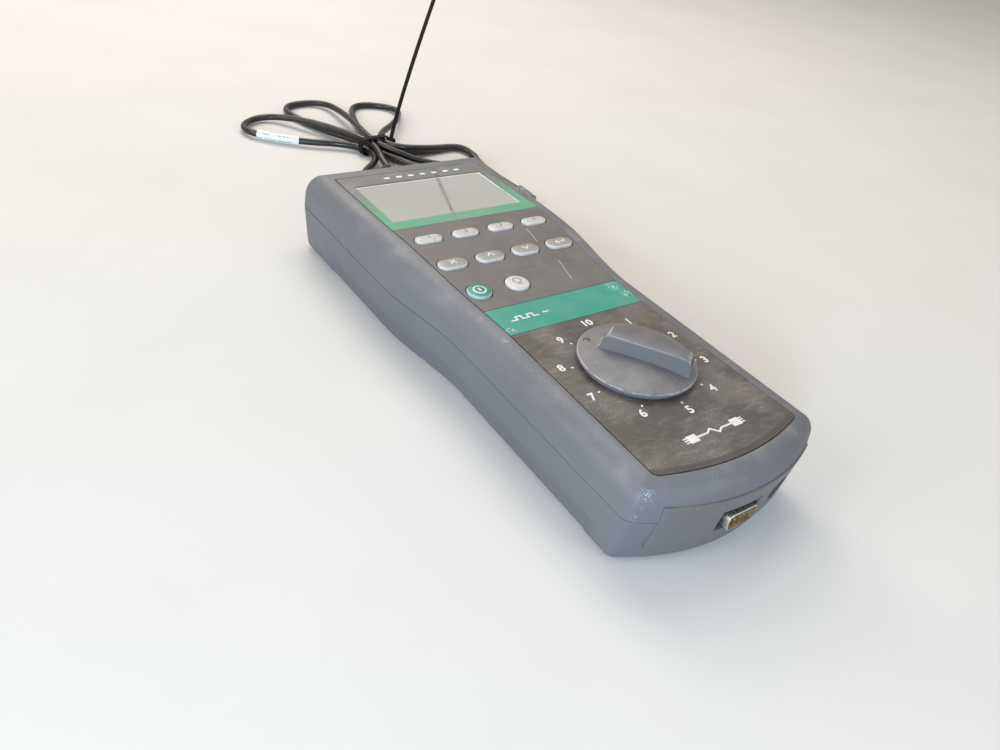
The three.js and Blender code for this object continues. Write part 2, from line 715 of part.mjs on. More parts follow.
function rotarySwitch() {
  const low = FRONT_BOARD_Z + BOARD + GAP;
  const body = post(0, DIAL_Y, 13, low, SWITCH_TOP, 24);
  const bush = post(0, DIAL_Y, SHAFT_RADIUS + 0.9, SWITCH_TOP - 1, FACE_Z - 0.8, 20);
  return cut(join(body, bush), post(0, DIAL_Y, SHAFT_RADIUS + GAP, low - 1, FACE_Z, 20));
}

// The shaft has a flat on one side that turns with the knob.
function dialShaft() {
  const low = FRONT_BOARD_Z + BOARD + 2 * GAP;
  const round = post(0, 0, SHAFT_RADIUS, low, DIAL_RIM_Z - GAP, 20);
  return cut(round, block(1.8, 5, -5, 5, FACE_Z, DIAL_RIM_Z + 1));
}

function mainBoard() {
  return cut(
    block(-36, 36, -HALF_LENGTH + 14, -22, MAIN_BOARD_Z, MAIN_BOARD_Z + BOARD),
    [-30, 30].map((x) => post(x, -30, 1.6, MAIN_BOARD_Z - 1, MAIN_BOARD_Z + BOARD + 1, 12)),
  );
}

function jackBoard() {
  return block(JACK_X - 14, JACK_X + 14, JACK_FACE - 26, JACK_FACE - 1, MAIN_BOARD_Z, MAIN_BOARD_Z + BOARD);
}

function caseScrew(x, y) {
  const head = post(x, y, 2.8, 0.6, 3.4, 16);
  const shank = post(x, y, 1.4 - GAP / 2, 3.2, 36, 10);
  const slot = (turn) => block(-1.7, 1.7, -0.4, 0.4, 0, 1.8).rotateZ(turn).translate(x, y, 0);
  return cut(join(head, shank), slot(0), slot(Math.PI / 2));
}

function doorScrew() {
  const y = DOOR.y0 + 5;
  const head = post(0, y, 2.8, 0.2, 1.0 - GAP, 16);
  return cut(join(head, post(0, y, 1.1, 0.5, 7.5, 10)), block(-2, 2, y - 0.4, y + 0.4, 0, 0.5));
}

// ---- Battery and display ----

// Three sticks of cells side by side under one shrunk wrap, which bridges the valleys between them.
function batteryPack() {
  const cell = 13;
  const pitch = 2 * cell - 0.5;
  const floor = 5.2;
  const [y0, y1] = [-4, 98];
  const sticks = [-1, 0, 1].map((i) => bar(pitch * i, floor + cell, cell, y0, y1, 20));
  return join(block(-pitch, pitch, y0, y1, floor + 2, floor + 2 * cell - 2), sticks);
}

const DISPLAY = { half: 44.5, y0: WINDOW_Y + 3, y1: FACE_TOP_Y - 5 };

function displayFrame() {
  const { half, y0, y1 } = DISPLAY;
  const z0 = FRONT_BOARD_Z + BOARD + GAP;
  const z1 = FACE_Z - WALL - 0.6 + crown(FACE_TOP_Y);
  return cut(
    block(-half, half, y0, y1, z0, z1),
    block(-half + 1, half - 1, y0 + 1, y1 - 1, z0 + 2, z1 - 1),
    block(-half + 3, half - 3, y0 + 4, y1 - 6, z1 - 2, z1 + 1),
  );
}

function displayPanel() {
  const { half, y0, y1 } = DISPLAY;
  const z1 = FACE_Z - WALL - 0.6 + crown(FACE_TOP_Y) - 1 - GAP;
  const inset = 1 + GAP;
  const z0 = FRONT_BOARD_Z + BOARD + 2 * GAP + 2;
  return block(-half + inset, half - inset, y0 + inset, y1 - inset, z0, z1);
}

// ---- Lead ----

// Cuts the corners of a chain of points, again and again, until it is a smooth line.
function smoothed(points, rounds = 4) {
  let chain = points.map((point) => new THREE.Vector3(...point));
  for (let round = 0; round < rounds; round++) {
    const inner = chain.slice(1).flatMap((to, i) => [0.25, 0.75].map((t) => chain[i].clone().lerp(to, t)));
    chain = [chain[0], ...inner, chain.at(-1)];
  }
  return chain;
}

function curveThrough(points) {
  const curve = new THREE.CatmullRomCurve3(points);
  curve.arcLengthDivisions = 4 * points.length;
  return curve;
}

function polygon(radius, sides) {
  return arc(0, 0, radius, 0, 2 * Math.PI, sides)
    .slice(0, -1)
    .map((corner) => new THREE.Vector2(...corner));
}

const leadCurve = curveThrough(smoothed(LEAD_ROUTE));

function leadCord() {
  const section = new THREE.Shape(polygon(CORD_RADIUS, 8));
  return new THREE.ExtrudeGeometry(section, { steps: CORD_STEPS, extrudePath: leadCurve });
}

// A sleeve of printed label wrapped round the cord.
function labelSleeve() {
  const steps = 5;
  const span = LABEL.to - LABEL.from;
  const along = (i) => leadCurve.getPointAt(LABEL.from + (span * i) / steps);
  const points = Array.from({ length: steps + 1 }, (_, i) => along(i));
  const section = new THREE.Shape(polygon(LABEL.radius, 12));
  section.holes.push(new THREE.Path(polygon(LABEL.radius - 0.45, 12)));
  return new THREE.ExtrudeGeometry(section, { steps, extrudePath: curveThrough(points) });
}

// The plug and its boot point along -Y from the cord's end, which is at their group's origin.
function plugBody() {
  const back = -BOOT_LENGTH - 2 * GAP;
  const { half, halfHeight, length } = PLUG;
  const body = block(-half, half, back - length, back, -halfHeight, halfHeight);
  const lever = new THREE.Shape();
  lever.moveTo(back - length + 1, halfHeight - 0.5);
  lever.lineTo(back - length + 1, halfHeight + 0.3);
  lever.lineTo(back - 6, halfHeight + 1.5);
  lever.lineTo(back - 4, halfHeight + 1.5);
  lever.lineTo(back - 4, halfHeight + 0.5);
  lever.lineTo(back - length + 5, halfHeight - 0.5);
  return join(body, acrossX(prism(lever, -3, 3)));
}

// The boot narrows from the plug's size to a round collar, with grooves that let it bend.
function plugBoot() {
  const grooves = 4;
  const width = 1.3;
  const outer = new THREE.CylinderGeometry(3.3, 4.2, BOOT_LENGTH, 16).scale(width, 1, 1);
  outer.translate(0, -GAP - BOOT_LENGTH / 2, 0);
  const groove = (i) => {
    const y = -3 - 3.4 * i;
    return cut(block(-9, 9, y - 0.7, y + 0.7, -9, 9), bar(0, 0, 2.9, y - 1, y + 1, 16));
  };
  return cut(outer, Array.from({ length: grooves }, (_, i) => groove(i)));
}

// A flat strip along a curve, with its width kept as near to the Y axis as the curve allows.
function strip(curve, width, thick, steps) {
  const sections = Array.from({ length: steps + 1 }, (_, i) => {
    const along = curve.getTangent(i / steps);
    const across = new THREE.Vector3(0, 1, 0).projectOnPlane(along).normalize();
    const out = new THREE.Vector3().crossVectors(along, across);
    return [[-1, -1], [1, -1], [1, 1], [-1, 1]].map(([a, b]) =>
      curve
        .getPoint(i / steps)
        .addScaledVector(across, (a * width) / 2)
        .addScaledVector(out, (b * thick) / 2),
    );
  });
  const last = 4 * steps;
  const index = [0, 2, 1, 0, 3, 2, last, last + 1, last + 2, last, last + 2, last + 3];
  for (let i = 0; i < steps; i++)
    for (let side = 0; side < 4; side++) {
      const a = 4 * i + side;
      const b = 4 * i + ((side + 1) % 4);
      index.push(a, b, b + 4, a, b + 4, a + 4);
    }
  const geometry = new THREE.BufferGeometry().setFromPoints(sections.flat());
  geometry.setIndex(index);
  return geometry;
}

// The tie's band runs round the bundle and into its head, from which the unused tail stands up and away.
function cableTie() {
  const half = TIE_WIDTH / 2;
  const [middleX, middleZ, halfX, halfZ] = [1.6, 6.85, 13.5, 6.65];
  const outline = roundedRectangle(halfX, halfZ, 5, middleX, middleZ);
  outline.holes.push(roundedRectangle(halfX - TIE_THICK, halfZ - TIE_THICK, 4, middleX, middleZ));
  const band = prismAlongY(outline, -half, half);
  const headX = middleX + halfX - 0.5;
  const head = block(headX, headX + 4.6, -half - 0.8, half + 0.8, middleZ - 3, middleZ + 3.4);
  const foot = [headX + 2, 0, middleZ + 2];
  const points = [foot, TAIL_KNEE, TAIL_TIP].map((point) => new THREE.Vector3(...point));
  const tail = strip(new THREE.QuadraticBezierCurve3(...points), TIE_WIDTH - 1.2, TIE_THICK, 10);
  return join(band, head, tail);
}

// ---- Assembly ----

add("top_shell", topShell(), colours.caseGrey);
add("bottom_shell", bottomShell(), colours.caseGrey);
add("connector_plate", connectorPlate(), colours.plateGrey);
add("port_plate", portPlate(), colours.plateGrey);
add("battery_door", batteryDoor(), colours.caseGrey);
add("dial_film", dialFilm(), colours.darkFilm);
add("band_film", film(BAND_Y, BAND_TOP_Y), colours.teal);
add("key_film", keyFilm(), colours.film);
add("display_window", displayWindow(), colours.glass);
add("display_frame", displayFrame(), colours.metal);
add("display_panel", displayPanel(), colours.glass);
for (const key of KEYS) add(key.name, keyCap(key), key.colour);
const dial = new THREE.Group();
dial.position.set(0, DIAL_Y, 0);
dial.rotation.z = (2 * Math.PI) / DIAL_POSITIONS;
tester.add(dial);
add("dial_knob", dialKnob(), colours.caseGrey, dial);
add("dial_shaft", dialShaft(), colours.metal, dial);
add("rotary_switch", rotarySwitch(), colours.black);
add("key_mat", keyMat(), colours.rubber);
add("front_board", frontBoard(), colours.board);
add("main_board", mainBoard(), colours.board);
add("jack_board", jackBoard(), colours.board);
add("battery_pack", batteryPack(), colours.blueWrap);
add("serial_shell", serialShell(), colours.metal);
add("serial_insulator", serialInsulator(), colours.black);
serialPins().forEach(({ x, z }, i) => {
  const pin = bar(SERIAL_X + x, CONNECTOR_Z + z, PIN_RADIUS, SERIAL_RIM + 1.5, SERIAL_FLANGE + 6.5, 8);
  add(`serial_pin_${i + 1}`, pin, colours.gold);
});
add("power_jack", powerJack(), colours.black);
add("power_pin", bar(POWER_X, POWER_Z, 1, -HALF_LENGTH + 11, -HALF_LENGTH + 18.5, 10), colours.metal);
add("network_jack", networkJack(), colours.black);
SCREWS.forEach(([x, y], i) => add(`case_screw_${i + 1}`, caseScrew(x, y), colours.metal));
add("door_screw", doorScrew(), colours.metal);
add("lead_cord", leadCord(), colours.cord);
add("label_sleeve", labelSleeve(), colours.label);
for (const [end, [x, y, z]] of [["near", LEAD_ROUTE[0]], ["far", LEAD_ROUTE.at(-1)]]) {
  const plug = new THREE.Group();
  plug.position.set(x, y, z);
  tester.add(plug);
  add(`${end}_plug`, plugBody(), colours.clearPlug, plug);
  add(`${end}_boot`, plugBoot(), colours.cord, plug);
}
const tie = new THREE.Group();
tie.position.set(TIE.x, TIE.y, 0);
tie.rotation.z = THREE.MathUtils.degToRad(TIE.turn);
tester.add(tie);
add("cable_tie", cableTie(), colours.black, tie);

export default tester;
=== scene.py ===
"""Looks for a hand-held network cable tester and its patch lead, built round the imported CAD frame.

Shapes are written in millimetres, in the frame of the CAD, and scaled to metres where a mesh is made.
"""

import json
import math

import bmesh
import bpy
import numpy as np
from mathutils import Matrix, Vector


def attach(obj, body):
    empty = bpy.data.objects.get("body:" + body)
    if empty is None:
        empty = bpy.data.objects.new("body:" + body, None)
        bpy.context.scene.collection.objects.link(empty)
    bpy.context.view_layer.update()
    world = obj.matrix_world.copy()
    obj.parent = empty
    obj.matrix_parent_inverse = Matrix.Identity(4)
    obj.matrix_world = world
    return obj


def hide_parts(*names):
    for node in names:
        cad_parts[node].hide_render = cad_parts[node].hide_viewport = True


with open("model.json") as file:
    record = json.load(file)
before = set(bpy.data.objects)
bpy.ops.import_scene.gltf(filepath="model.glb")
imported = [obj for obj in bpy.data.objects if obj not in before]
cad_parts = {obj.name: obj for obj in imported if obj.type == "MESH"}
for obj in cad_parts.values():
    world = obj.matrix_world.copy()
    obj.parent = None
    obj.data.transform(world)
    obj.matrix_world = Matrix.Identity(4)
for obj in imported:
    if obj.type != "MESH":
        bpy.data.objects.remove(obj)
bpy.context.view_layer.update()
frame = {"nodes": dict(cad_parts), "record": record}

MM = 0.001

# Outline of the case, seen from above.
HALF_LENGTH = 153
BODY_HALF = 53.5
HEAD_HALF = 61.5
FLARE = 1.5  # how much wider the head is at its end
NECK_LOW = -18  # the case widens from here
NECK_HIGH = 50  # to here
CORNER = 6
HEAD_CORNER = 10
LEAST_ROUND = 2
BOW_RADIUS = 100  # of the connector end
END_LEAN = 0.12  # how fast that end draws in below its lip
LIP_Z = 37

# Heights.
FACE_Z = 45
PARTING_Z = 28
HEAD_RISE = 3.8  # of the face, from the dial to the window
HEAD_FALL = 1.6  # and down again to the head's end
RISE_FROM = -15
RISE_TO = 63.5
GAP = 0.3  # between neighbouring pieces
WALL = 2.5
SHOULDER = 11
HEEL = 6
SIDE_DRAFT = 0.5
BACK_DRAFT = 1.5
CEILING = FACE_Z - WALL - GAP
INSIDE_Z = 30  # cutters for the face's openings start here, in the hollow, and end above everything
ABOVE_Z = 2 * FACE_Z

# Face films, window and keys.
FILM = 0.5
FACE_TOP_Y = 135.2
WINDOW_Y = 65
BAND_TOP_Y = -14.9
BAND_Y = -36  # the band's low end
FACE_LOW_Y = -133.7
FACE_BOW = 7  # of the face's low end
FILM_PLACES = (FACE_LOW_Y, BAND_Y, BAND_TOP_Y, WINDOW_Y, FACE_TOP_Y)
FILM_HALVES = (41.3, 40, 40.8, 47.3, 48)  # half of the films' width at each place along Y
LENS = 1.5
KEY_COLUMN = 22.5
KEY_PROUD = 1.6
KEY_FLANGE = 1.2
SOFT_KEY = (15.6, 7, 50.5)  # width, height and place along Y
MENU_KEY = (16.4, 9, 26)
ROUND_KEY = (12.6, 12.6, 0.5)

# Selector dial.
DIAL_Y = -76.25
DIAL_RADIUS = 27.1
DIAL_POSITIONS = 10
DIAL_TURN = 2 * math.pi / DIAL_POSITIONS
DIAL_TOP_Z = 58
DIAL_RIM_Z = 48.8
DIAL_FLOOR_RISE = 2.2
GRIP_HALF = 4.4
GRIP_FOOT = DIAL_RADIUS - 9
GRIP_TAIL = 2.5 - DIAL_RADIUS
DOT_Y = DIAL_RADIUS - 3.6
SHAFT_RADIUS = 3

# Connectors and screws.
CONNECTOR_Z = 22.5
SERIAL_X = -4
SERIAL_RIM = -HALF_LENGTH
SERIAL_FLANGE = SERIAL_RIM + 7.6
PIN_PITCH = 2.77
PIN_ROW = 1.42
PIN_RADIUS = 0.5
POWER_X = 21
POWER_Z = 25
POWER_HOLE = 6
JACK_X = 20
PLATE_HALF = 42
PLATE_LOW = 12.5
PLATE_HIGH = 36.5
SCREWS = [(50, 138), (-50, 138), (42, -129), (-42, -129)]
DOOR_HALF = 44
DOOR_LOW_Y = -14
DOOR_HIGH_Y = 110
DOOR_SCREW_Y = DOOR_LOW_Y + 5
DOOR_THICK = 2.2

# The patch lead.
CORD_RADIUS = 2.5
BOOT_LENGTH = 25.4
PLUG_HALF = 5.8
PLUG_HALF_HEIGHT = 4
PLUG_LENGTH = 20.5
WIRE_PITCH = 1.02
TIE_PLACE = (44, 270)  # the tie's own shapes are drawn round its place
TIE_TURN = math.radians(8)
TIE_WIDTH = 4.6
TIE_THICK = 1.1
TAIL_KNEE = (31, 7, 56)
TAIL_TIP = (170, 88, 216)
LABEL_SPAN = (0.118, 0.145)  # shares of the cord's length
LABEL_RADIUS = 3.5
LEAD_ROUTE = [
    # out of the boot and down to the surface
    (20, 184.5, 22.5), (20, 199, 22.5), (17, 213, 7), (14, 230, 2.6),
    # through the tie and round the left lobe, which carries the label
    (41, 251, 4.4), (37, 279, 4.4), (-10, 299, 4.1), (-43, 332, 4),
    (-12, 361, 2.6), (16, 327, 8),
    # back through the tie and round a short fold on the near side
    (40, 280, 9.2), (42.5, 260, 9.2), (36, 236, 7.5), (36, 200, 2.6),
    (72, 203, 2.6), (61, 238, 2.6),
    # the middle lobe
    (45.5, 260, 4.4), (42.5, 280, 4.4), (19, 328, 2.6), (7, 377, 2.6),
    (50, 383, 2.6), (51, 334, 8),
    # the second fold, to the right
    (45, 280, 9.2), (48, 260, 9.2), (76, 230, 2.6), (119, 224, 2.6),
    (120, 263, 2.6), (80, 256, 2.6),
    # the right lobe
    (51, 259, 4.4), (48.5, 281, 4.4), (56, 331, 2.6), (73, 373, 2.6),
    (111, 354, 2.6), (88, 313, 7),
    # over the second fold to the far plug, which lies on the surface
    (51.5, 281, 9.2), (55.5, 257, 9.2), (82, 247, 9.6), (108, 240, 12),
    (110, 220, 6.5), (110, 196, 4.4),
]


# ---- Camera and lights ----

CAMERA_PLACE = Vector((-0.2264, -0.2609, 0.2376))
CAMERA_TURN = math.radians(39.3)
CAMERA_DIP = math.radians(36.4)
CAMERA_ROLL = math.radians(9.56)
CAMERA_LENS = 28.03


def added(name, data):
    """A new object in the scene."""
    made = bpy.data.objects.new(name, data)
    bpy.context.scene.collection.objects.link(made)
    return made


def add_camera():
    data = bpy.data.cameras.new("camera")
    data.sensor_width = 36
    data.lens = CAMERA_LENS
    data.clip_start = 0.01
    camera = added("camera", data)
    heading = Matrix.Rotation(-CAMERA_TURN, 4, "Z")
    tilt = Matrix.Rotation(math.pi / 2 - CAMERA_DIP, 4, "X")
    roll = Matrix.Rotation(CAMERA_ROLL, 4, "Z")
    camera.matrix_world = Matrix.Translation(CAMERA_PLACE) @ heading @ tilt @ roll
    bpy.context.scene.camera = camera


def add_light(name, place, target, size, watts, colour):
    data = bpy.data.lights.new(name, "AREA")
    data.shape = "DISK"
    data.size = size
    data.energy = watts
    data.color = colour
    light = added(name, data)
    light.location = place
    towards = Vector(target) - Vector(place)
    light.rotation_euler = towards.to_track_quat("-Z", "Y").to_euler()


def add_surroundings():
    world = bpy.data.worlds.new("studio")
    bpy.context.scene.world = world
    world.use_nodes = True
    background = world.node_tree.nodes["Background"]
    background.inputs["Color"].default_value = (1.0, 0.965, 0.915, 1)
    background.inputs["Strength"].default_value = 0.52
    lights = [
        # name, place, target, size, watts, colour
        ("warm_far", (0.1, 1.1, 1.0), (0, 0.25, 0), 0.8, 9, (1.0, 0.90, 0.80)),
        ("warm_above", (0.5, 0.6, 1.5), (0, 0, 0), 0.9, 7, (1.0, 0.94, 0.86)),
        ("side", (-1.5, 0.2, 0.8), (0, 0.1, 0), 1.0, 12, (1.0, 0.96, 0.92)),
        ("cool_near", (-0.7, -0.62, 0.3), (-0.03, -0.12, 0.03), 0.3, 7, (0.50, 0.74, 1.0)),
        ("front", (0.5, -1.5, 0.9), (0, 0, 0), 0.9, 5, (0.86, 0.93, 1.0)),
    ]
    for light in lights:
        add_light(*light)
    bpy.context.scene.view_settings.view_transform = "Standard"


add_camera()
add_surroundings()


# ---- Materials ----


def film_half(y):
    """Half the width of the recess for films, window and border at a height along Y."""
    return float(np.interp(y, FILM_PLACES, FILM_HALVES))


def srgb(red, green, blue):
    """A screen colour, 0 to 255, as the linear colour that a shader takes."""
    shares = [c / 255 for c in (red, green, blue)]
    return tuple(c / 12.92 if c <= 0.04045 else ((c + 0.055) / 1.055) ** 2.4 for c in shares) + (1,)


# the colour of settled dust, also used as the colour of the painted highlight on leaning rims
DUST_AND_HIGHLIGHT = srgb(196, 188, 178)


def scaled(colour, factor, lift=0.0):
    """A colour made darker or paler."""
    return tuple(min(1, c * factor + lift) for c in colour[:3]) + (1,)


class Skin:
    """A procedural material: a Principled shader, and the textures that vary its colour and relief."""

    def __init__(self, name, **constants):
        self.material = bpy.data.materials.new(name)
        self.material.use_nodes = True
        self.tree = self.material.node_tree
        self.shader = self.tree.nodes["Principled BSDF"]
        for socket, value in constants.items():
            self.shader.inputs[socket.replace("_", " ")].default_value = value
        self.place = self.add("TexCoord").outputs["Object"]

    def add(self, kind, settings=(), **inputs):
        made = self.tree.nodes.new("ShaderNode" + kind)
        for key, value in dict(settings).items():
            setattr(made, key, value)
        for key, value in inputs.items():
            self.feed(made.inputs[key.replace("_", " ")], value)
        return made

    def feed(self, socket, value):
        if isinstance(value, bpy.types.NodeSocket):
            self.tree.links.new(value, socket)
        else:
            socket.default_value = value

    def noise(self, per_metre, detail=3.0, stretch=(1, 1, 1)):
        """Soft noise, about 0 to 1, with this many cells in a metre."""
        place = self.add("VectorMath", {"operation": "MULTIPLY"})
        self.feed(place.inputs[0], self.place)
        place.inputs[1].default_value = stretch
        node = self.add("TexNoise", Vector=place.outputs[0], Scale=per_metre, Detail=detail)
        return node.outputs["Fac"]

    def cells(self, per_metre):
        """Distance from the middles of scattered cells, 0 at the middle."""
        node = self.add("TexVoronoi", Vector=self.place, Scale=per_metre)
        return node.outputs["Distance"]

    def between(self, value, low, high, start=0.0, end=1.0):
        """Maps value smoothly from low..high to start..end."""
        node = self.add("MapRange", {"interpolation_type": "SMOOTHSTEP"})
        for socket, given in zip(node.inputs, (value, low, high, start, end)):
            self.feed(socket, given)
        return node.outputs[0]

    def patches(self, per_metre, detail, low, high, start=0.0, end=1.0, stretch=(1, 1, 1)):
        """Noise, mapped from low..high to start..end."""
        return self.between(self.noise(per_metre, detail, stretch), low, high, start, end)

    def math(self, operation, first, second=0.0):
        node = self.add("Math", {"operation": operation, "use_clamp": operation == "ADD"})
        self.feed(node.inputs[0], first)
        self.feed(node.inputs[1], second)
        return node.outputs[0]

    def both(self, first, second):
        return self.math("MULTIPLY", first, second)

    def mix(self, share, first, second):
        """Between two colours. Their sockets share names with others in the node, so they go by number."""
        node = self.add("Mix", {"data_type": "RGBA"})
        self.feed(node.inputs["Factor"], share)
        self.feed(node.inputs[6], first)
        self.feed(node.inputs[7], second)
        return node.outputs[2]

    def axis(self, letter):
        """A coordinate, in millimetres."""
        split = self.add("SeparateXYZ", Vector=self.place)
        return self.math("MULTIPLY", split.outputs[letter], 1 / MM)

    def near(self, point, radius):
        """1 at a point, falling to 0 at a radius from it, all in millimetres."""
        node = self.add("VectorMath", {"operation": "DISTANCE"})
        self.feed(node.inputs[0], self.place)
        node.inputs[1].default_value = tuple(MM * c for c in point)
        return self.between(node.outputs["Value"], 0.0, radius * MM, 1.0, 0.0)

    def upward(self):
        """How far a face looks up: 1 when it is level, 0 when it is upright."""
        normal = self.add("NewGeometry").outputs["Normal"]
        return self.add("SeparateXYZ", Vector=normal).outputs["Z"]

    def facing_up(self):
        """1 on faces that look up, where dust settles."""
        return self.between(self.upward(), 0.3, 0.95)

    def edges(self):
        """1 on faces that lean, as the rounded edges of upright shapes do. Used to paint such faces paler,
        for rubbing and as a painted highlight.
        """
        lean = self.upward()
        return self.both(self.between(lean, 0.3, 0.5), self.between(lean, 0.85, 0.95, 1.0, 0.0))

    def colour(self, value):
        self.feed(self.shader.inputs["Base Color"], value)

    def rough(self, value):
        self.feed(self.shader.inputs["Roughness"], value)

    def relief(self, height, depth_mm, strength=1.0):
        """Raises the surface by height times depth."""
        earlier = [link for link in self.tree.links if link.to_socket == self.shader.inputs["Normal"]]
        bump = self.add("Bump", Height=height, Distance=depth_mm * MM, Strength=strength)
        if earlier:
            self.feed(bump.inputs["Normal"], earlier[0].from_socket)
        self.feed(self.shader.inputs["Normal"], bump.outputs[0])


def moulded(name, base, roughness=0.5, grain_depth=0.03, dusty=0.3, edge_rub_and_highlight=0.0, scuffs=()):
    """Spark-textured moulded plastic with settled dust, edges made paler by rubbing and by a painted
    highlight, and small scuffed places.
    """
    skin = Skin(name, Specular_IOR_Level=0.5)
    shade = skin.mix(skin.patches(14, 4, 0.3, 0.7), base, scaled(base, 0.88))
    drifts = skin.both(skin.patches(70, 6, 0.45, 0.8), 0.5)
    specks = skin.both(skin.patches(1500, 2, 0.62, 0.72), 0.8)
    settled = skin.both(skin.facing_up(), skin.math("ADD", drifts, specks))
    shade = skin.mix(skin.both(settled, dusty), shade, DUST_AND_HIGHLIGHT)
    # leaning faces along the rims are painted paler: partly rubbed wear, partly a painted highlight
    if edge_rub_and_highlight:
        rubbed = skin.both(skin.edges(), skin.patches(300, 4, 0.3, 0.6))
        shade = skin.mix(skin.both(rubbed, edge_rub_and_highlight), shade, DUST_AND_HIGHLIGHT)
    chips = skin.both(skin.patches(1700, 3, 0.54, 0.6), 0.75)
    for point, radius in scuffs:
        shade = skin.mix(skin.both(chips, skin.near(point, radius)), shade, srgb(206, 214, 224))
    skin.colour(shade)
    skin.rough(skin.patches(35, 3, 0.2, 0.8, roughness - 0.07, roughness + 0.1))
    skin.relief(skin.noise(1800, 2), grain_depth)
    skin.relief(skin.patches(300, 5, 0.66, 0.7, stretch=(1, 0.15, 1)), -0.02, 0.6)
    return skin.material


def printed_film(name, base, dusty, roughness=0.42, scuffs=(), darker_foot_strip=False):
    """Printed film with a fine pebble, dust in its grain, wiped streaks and rubbed, cloudy patches."""
    skin = Skin(name, Specular_IOR_Level=0.5)
    cloud = skin.patches(50, 6, 0.35, 0.72)
    fine = skin.patches(2400, 3, 0.3, 0.85)
    wiped = skin.patches(420, 5, 0.45, 0.8, stretch=(0.35, 1, 1))
    flecks = skin.between(skin.cells(900), 0.1, 0.24, 1.0, 0.0)
    grime = skin.math("ADD", skin.both(skin.math("ADD", cloud, 0.25), fine), skin.both(wiped, 0.25))
    shade = skin.mix(skin.both(grime, dusty), base, DUST_AND_HIGHLIGHT)
    sparse = skin.both(flecks, skin.patches(140, 2, 0.5, 0.7))
    shade = skin.mix(skin.both(sparse, dusty), shade, DUST_AND_HIGHLIGHT)
    chips = skin.patches(1300, 3, 0.54, 0.6)
    for point, radius in scuffs:
        shade = skin.mix(skin.both(chips, skin.near(point, radius)), shade, srgb(226, 232, 232))
    if darker_foot_strip:
        # a strip a few millimetres wide, along the bowed edge beside the connectors, gets less dust mixed in,
        # so it is darker
        across = skin.both(skin.axis("X"), 1 / film_half(FACE_LOW_Y))
        bow = skin.both(skin.both(across, across), FACE_BOW)
        depth = skin.math("SUBTRACT", skin.math("SUBTRACT", skin.axis("Y"), FACE_LOW_Y - FACE_BOW), bow)
        strip = skin.between(depth, 2.4, 3.4, 1.0, 0.0)
        shade = skin.mix(skin.both(strip, 0.75), shade, base)
    skin.colour(shade)
    skin.rough(skin.between(cloud, 0.0, 1.0, roughness, roughness + 0.2))
    skin.relief(skin.cells(2600), 0.008)
    return skin.material


def plain_plastic(name, base, roughness, rub_and_highlight_strength=0.2, coat=0.0, shine=0.5):
    """Smooth moulded plastic with slight mottling, and edges made paler by rubbing and by a painted
    highlight.
    """
    skin = Skin(name, Coat_Weight=coat, Coat_Roughness=0.15, Specular_IOR_Level=shine)
    shade = skin.mix(skin.patches(90, 4, 0.3, 0.7), base, scaled(base, 0.8))
    # faces that lean are painted paler: partly rubbed wear, partly a painted highlight
    edge_rub_and_highlight = skin.both(skin.edges(), skin.patches(500, 3, 0.35, 0.6))
    skin.colour(skin.mix(skin.both(edge_rub_and_highlight, rub_and_highlight_strength), shade, scaled(base, 1.5, 0.02)))
    skin.rough(skin.patches(150, 3, 0.25, 0.75, roughness - 0.05, roughness + 0.08))
    skin.relief(skin.noise(1500, 2), 0.01)
    return skin.material


def key_plastic(name, base, rim, roughness):
    """Moulded key: printed or grubby on top, with its rounded rim painted paler as a highlight."""
    skin = Skin(name, Subsurface_Weight=0.08, Subsurface_Radius=(0.6, 0.5, 0.4), Subsurface_Scale=0.002)
    # where the face leans away from the top, the paler rim colour is a painted highlight
    on_top = skin.between(skin.upward(), 0.82, 0.96)
    shade = skin.mix(skin.both(on_top, skin.patches(500, 3, 0.1, 0.4)), rim, base)
    skin.colour(skin.mix(skin.both(skin.patches(260, 4, 0.45, 0.75), 0.3), shade, srgb(140, 132, 122)))
    skin.rough(skin.patches(300, 3, 0.3, 0.7, roughness - 0.08, roughness + 0.1))
    skin.relief(skin.noise(900, 3), 0.012)
    return skin.material


def metal(name, base, roughness, tarnish=0.3):
    """Bare metal with dull stains."""
    skin = Skin(name, Metallic=1.0)
    stained = skin.patches(260, 5, 0.45, 0.75)
    skin.colour(skin.mix(skin.both(stained, tarnish), base, scaled(base, 0.55)))
    skin.rough(skin.patches(500, 3, 0.3, 0.7, roughness - 0.04, roughness + 0.08))
    skin.relief(skin.noise(1600, 2), 0.0004, 0.3)
    return skin.material


def cord_jacket():
    """Smooth vinyl, rubbed shiny in places and dusty in others."""
    skin = Skin("cord_jacket", Specular_IOR_Level=0.55)
    dusty = skin.patches(160, 5, 0.5, 0.8)
    skin.colour(skin.mix(skin.both(dusty, 0.22), srgb(27, 24, 25), srgb(104, 94, 88)))
    skin.rough(skin.patches(70, 4, 0.3, 0.7, 0.26, 0.4))
    skin.relief(skin.noise(420, 3), 0.05, 0.5)
    return skin.material


def label_film():
    """White printed sleeve: broken grey print runs along it, and its edges are grubby."""
    skin = Skin("label_film")
    around = skin.add("UVMap").outputs["UV"]
    along = skin.add("SeparateXYZ", Vector=around).outputs["Y"]
    line = skin.add("TexWave", {"bands_direction": "X"}, Vector=around, Scale=1.6)
    mark = skin.both(skin.between(line.outputs["Fac"], 0.72, 0.8), skin.patches(480, 2, 0.42, 0.5))
    printed = skin.both(mark, skin.between(along, 0.12, 0.2))
    shade = skin.mix(skin.both(printed, 0.6), srgb(222, 226, 232), srgb(120, 124, 132))
    shade = skin.mix(skin.both(skin.patches(150, 4, 0.5, 0.8), 0.35), shade, srgb(160, 156, 150))
    skin.colour(shade)
    skin.rough(skin.patches(120, 2, 0.2, 0.8, 0.32, 0.5))
    skin.relief(skin.noise(220, 3), 0.08)
    return skin.material


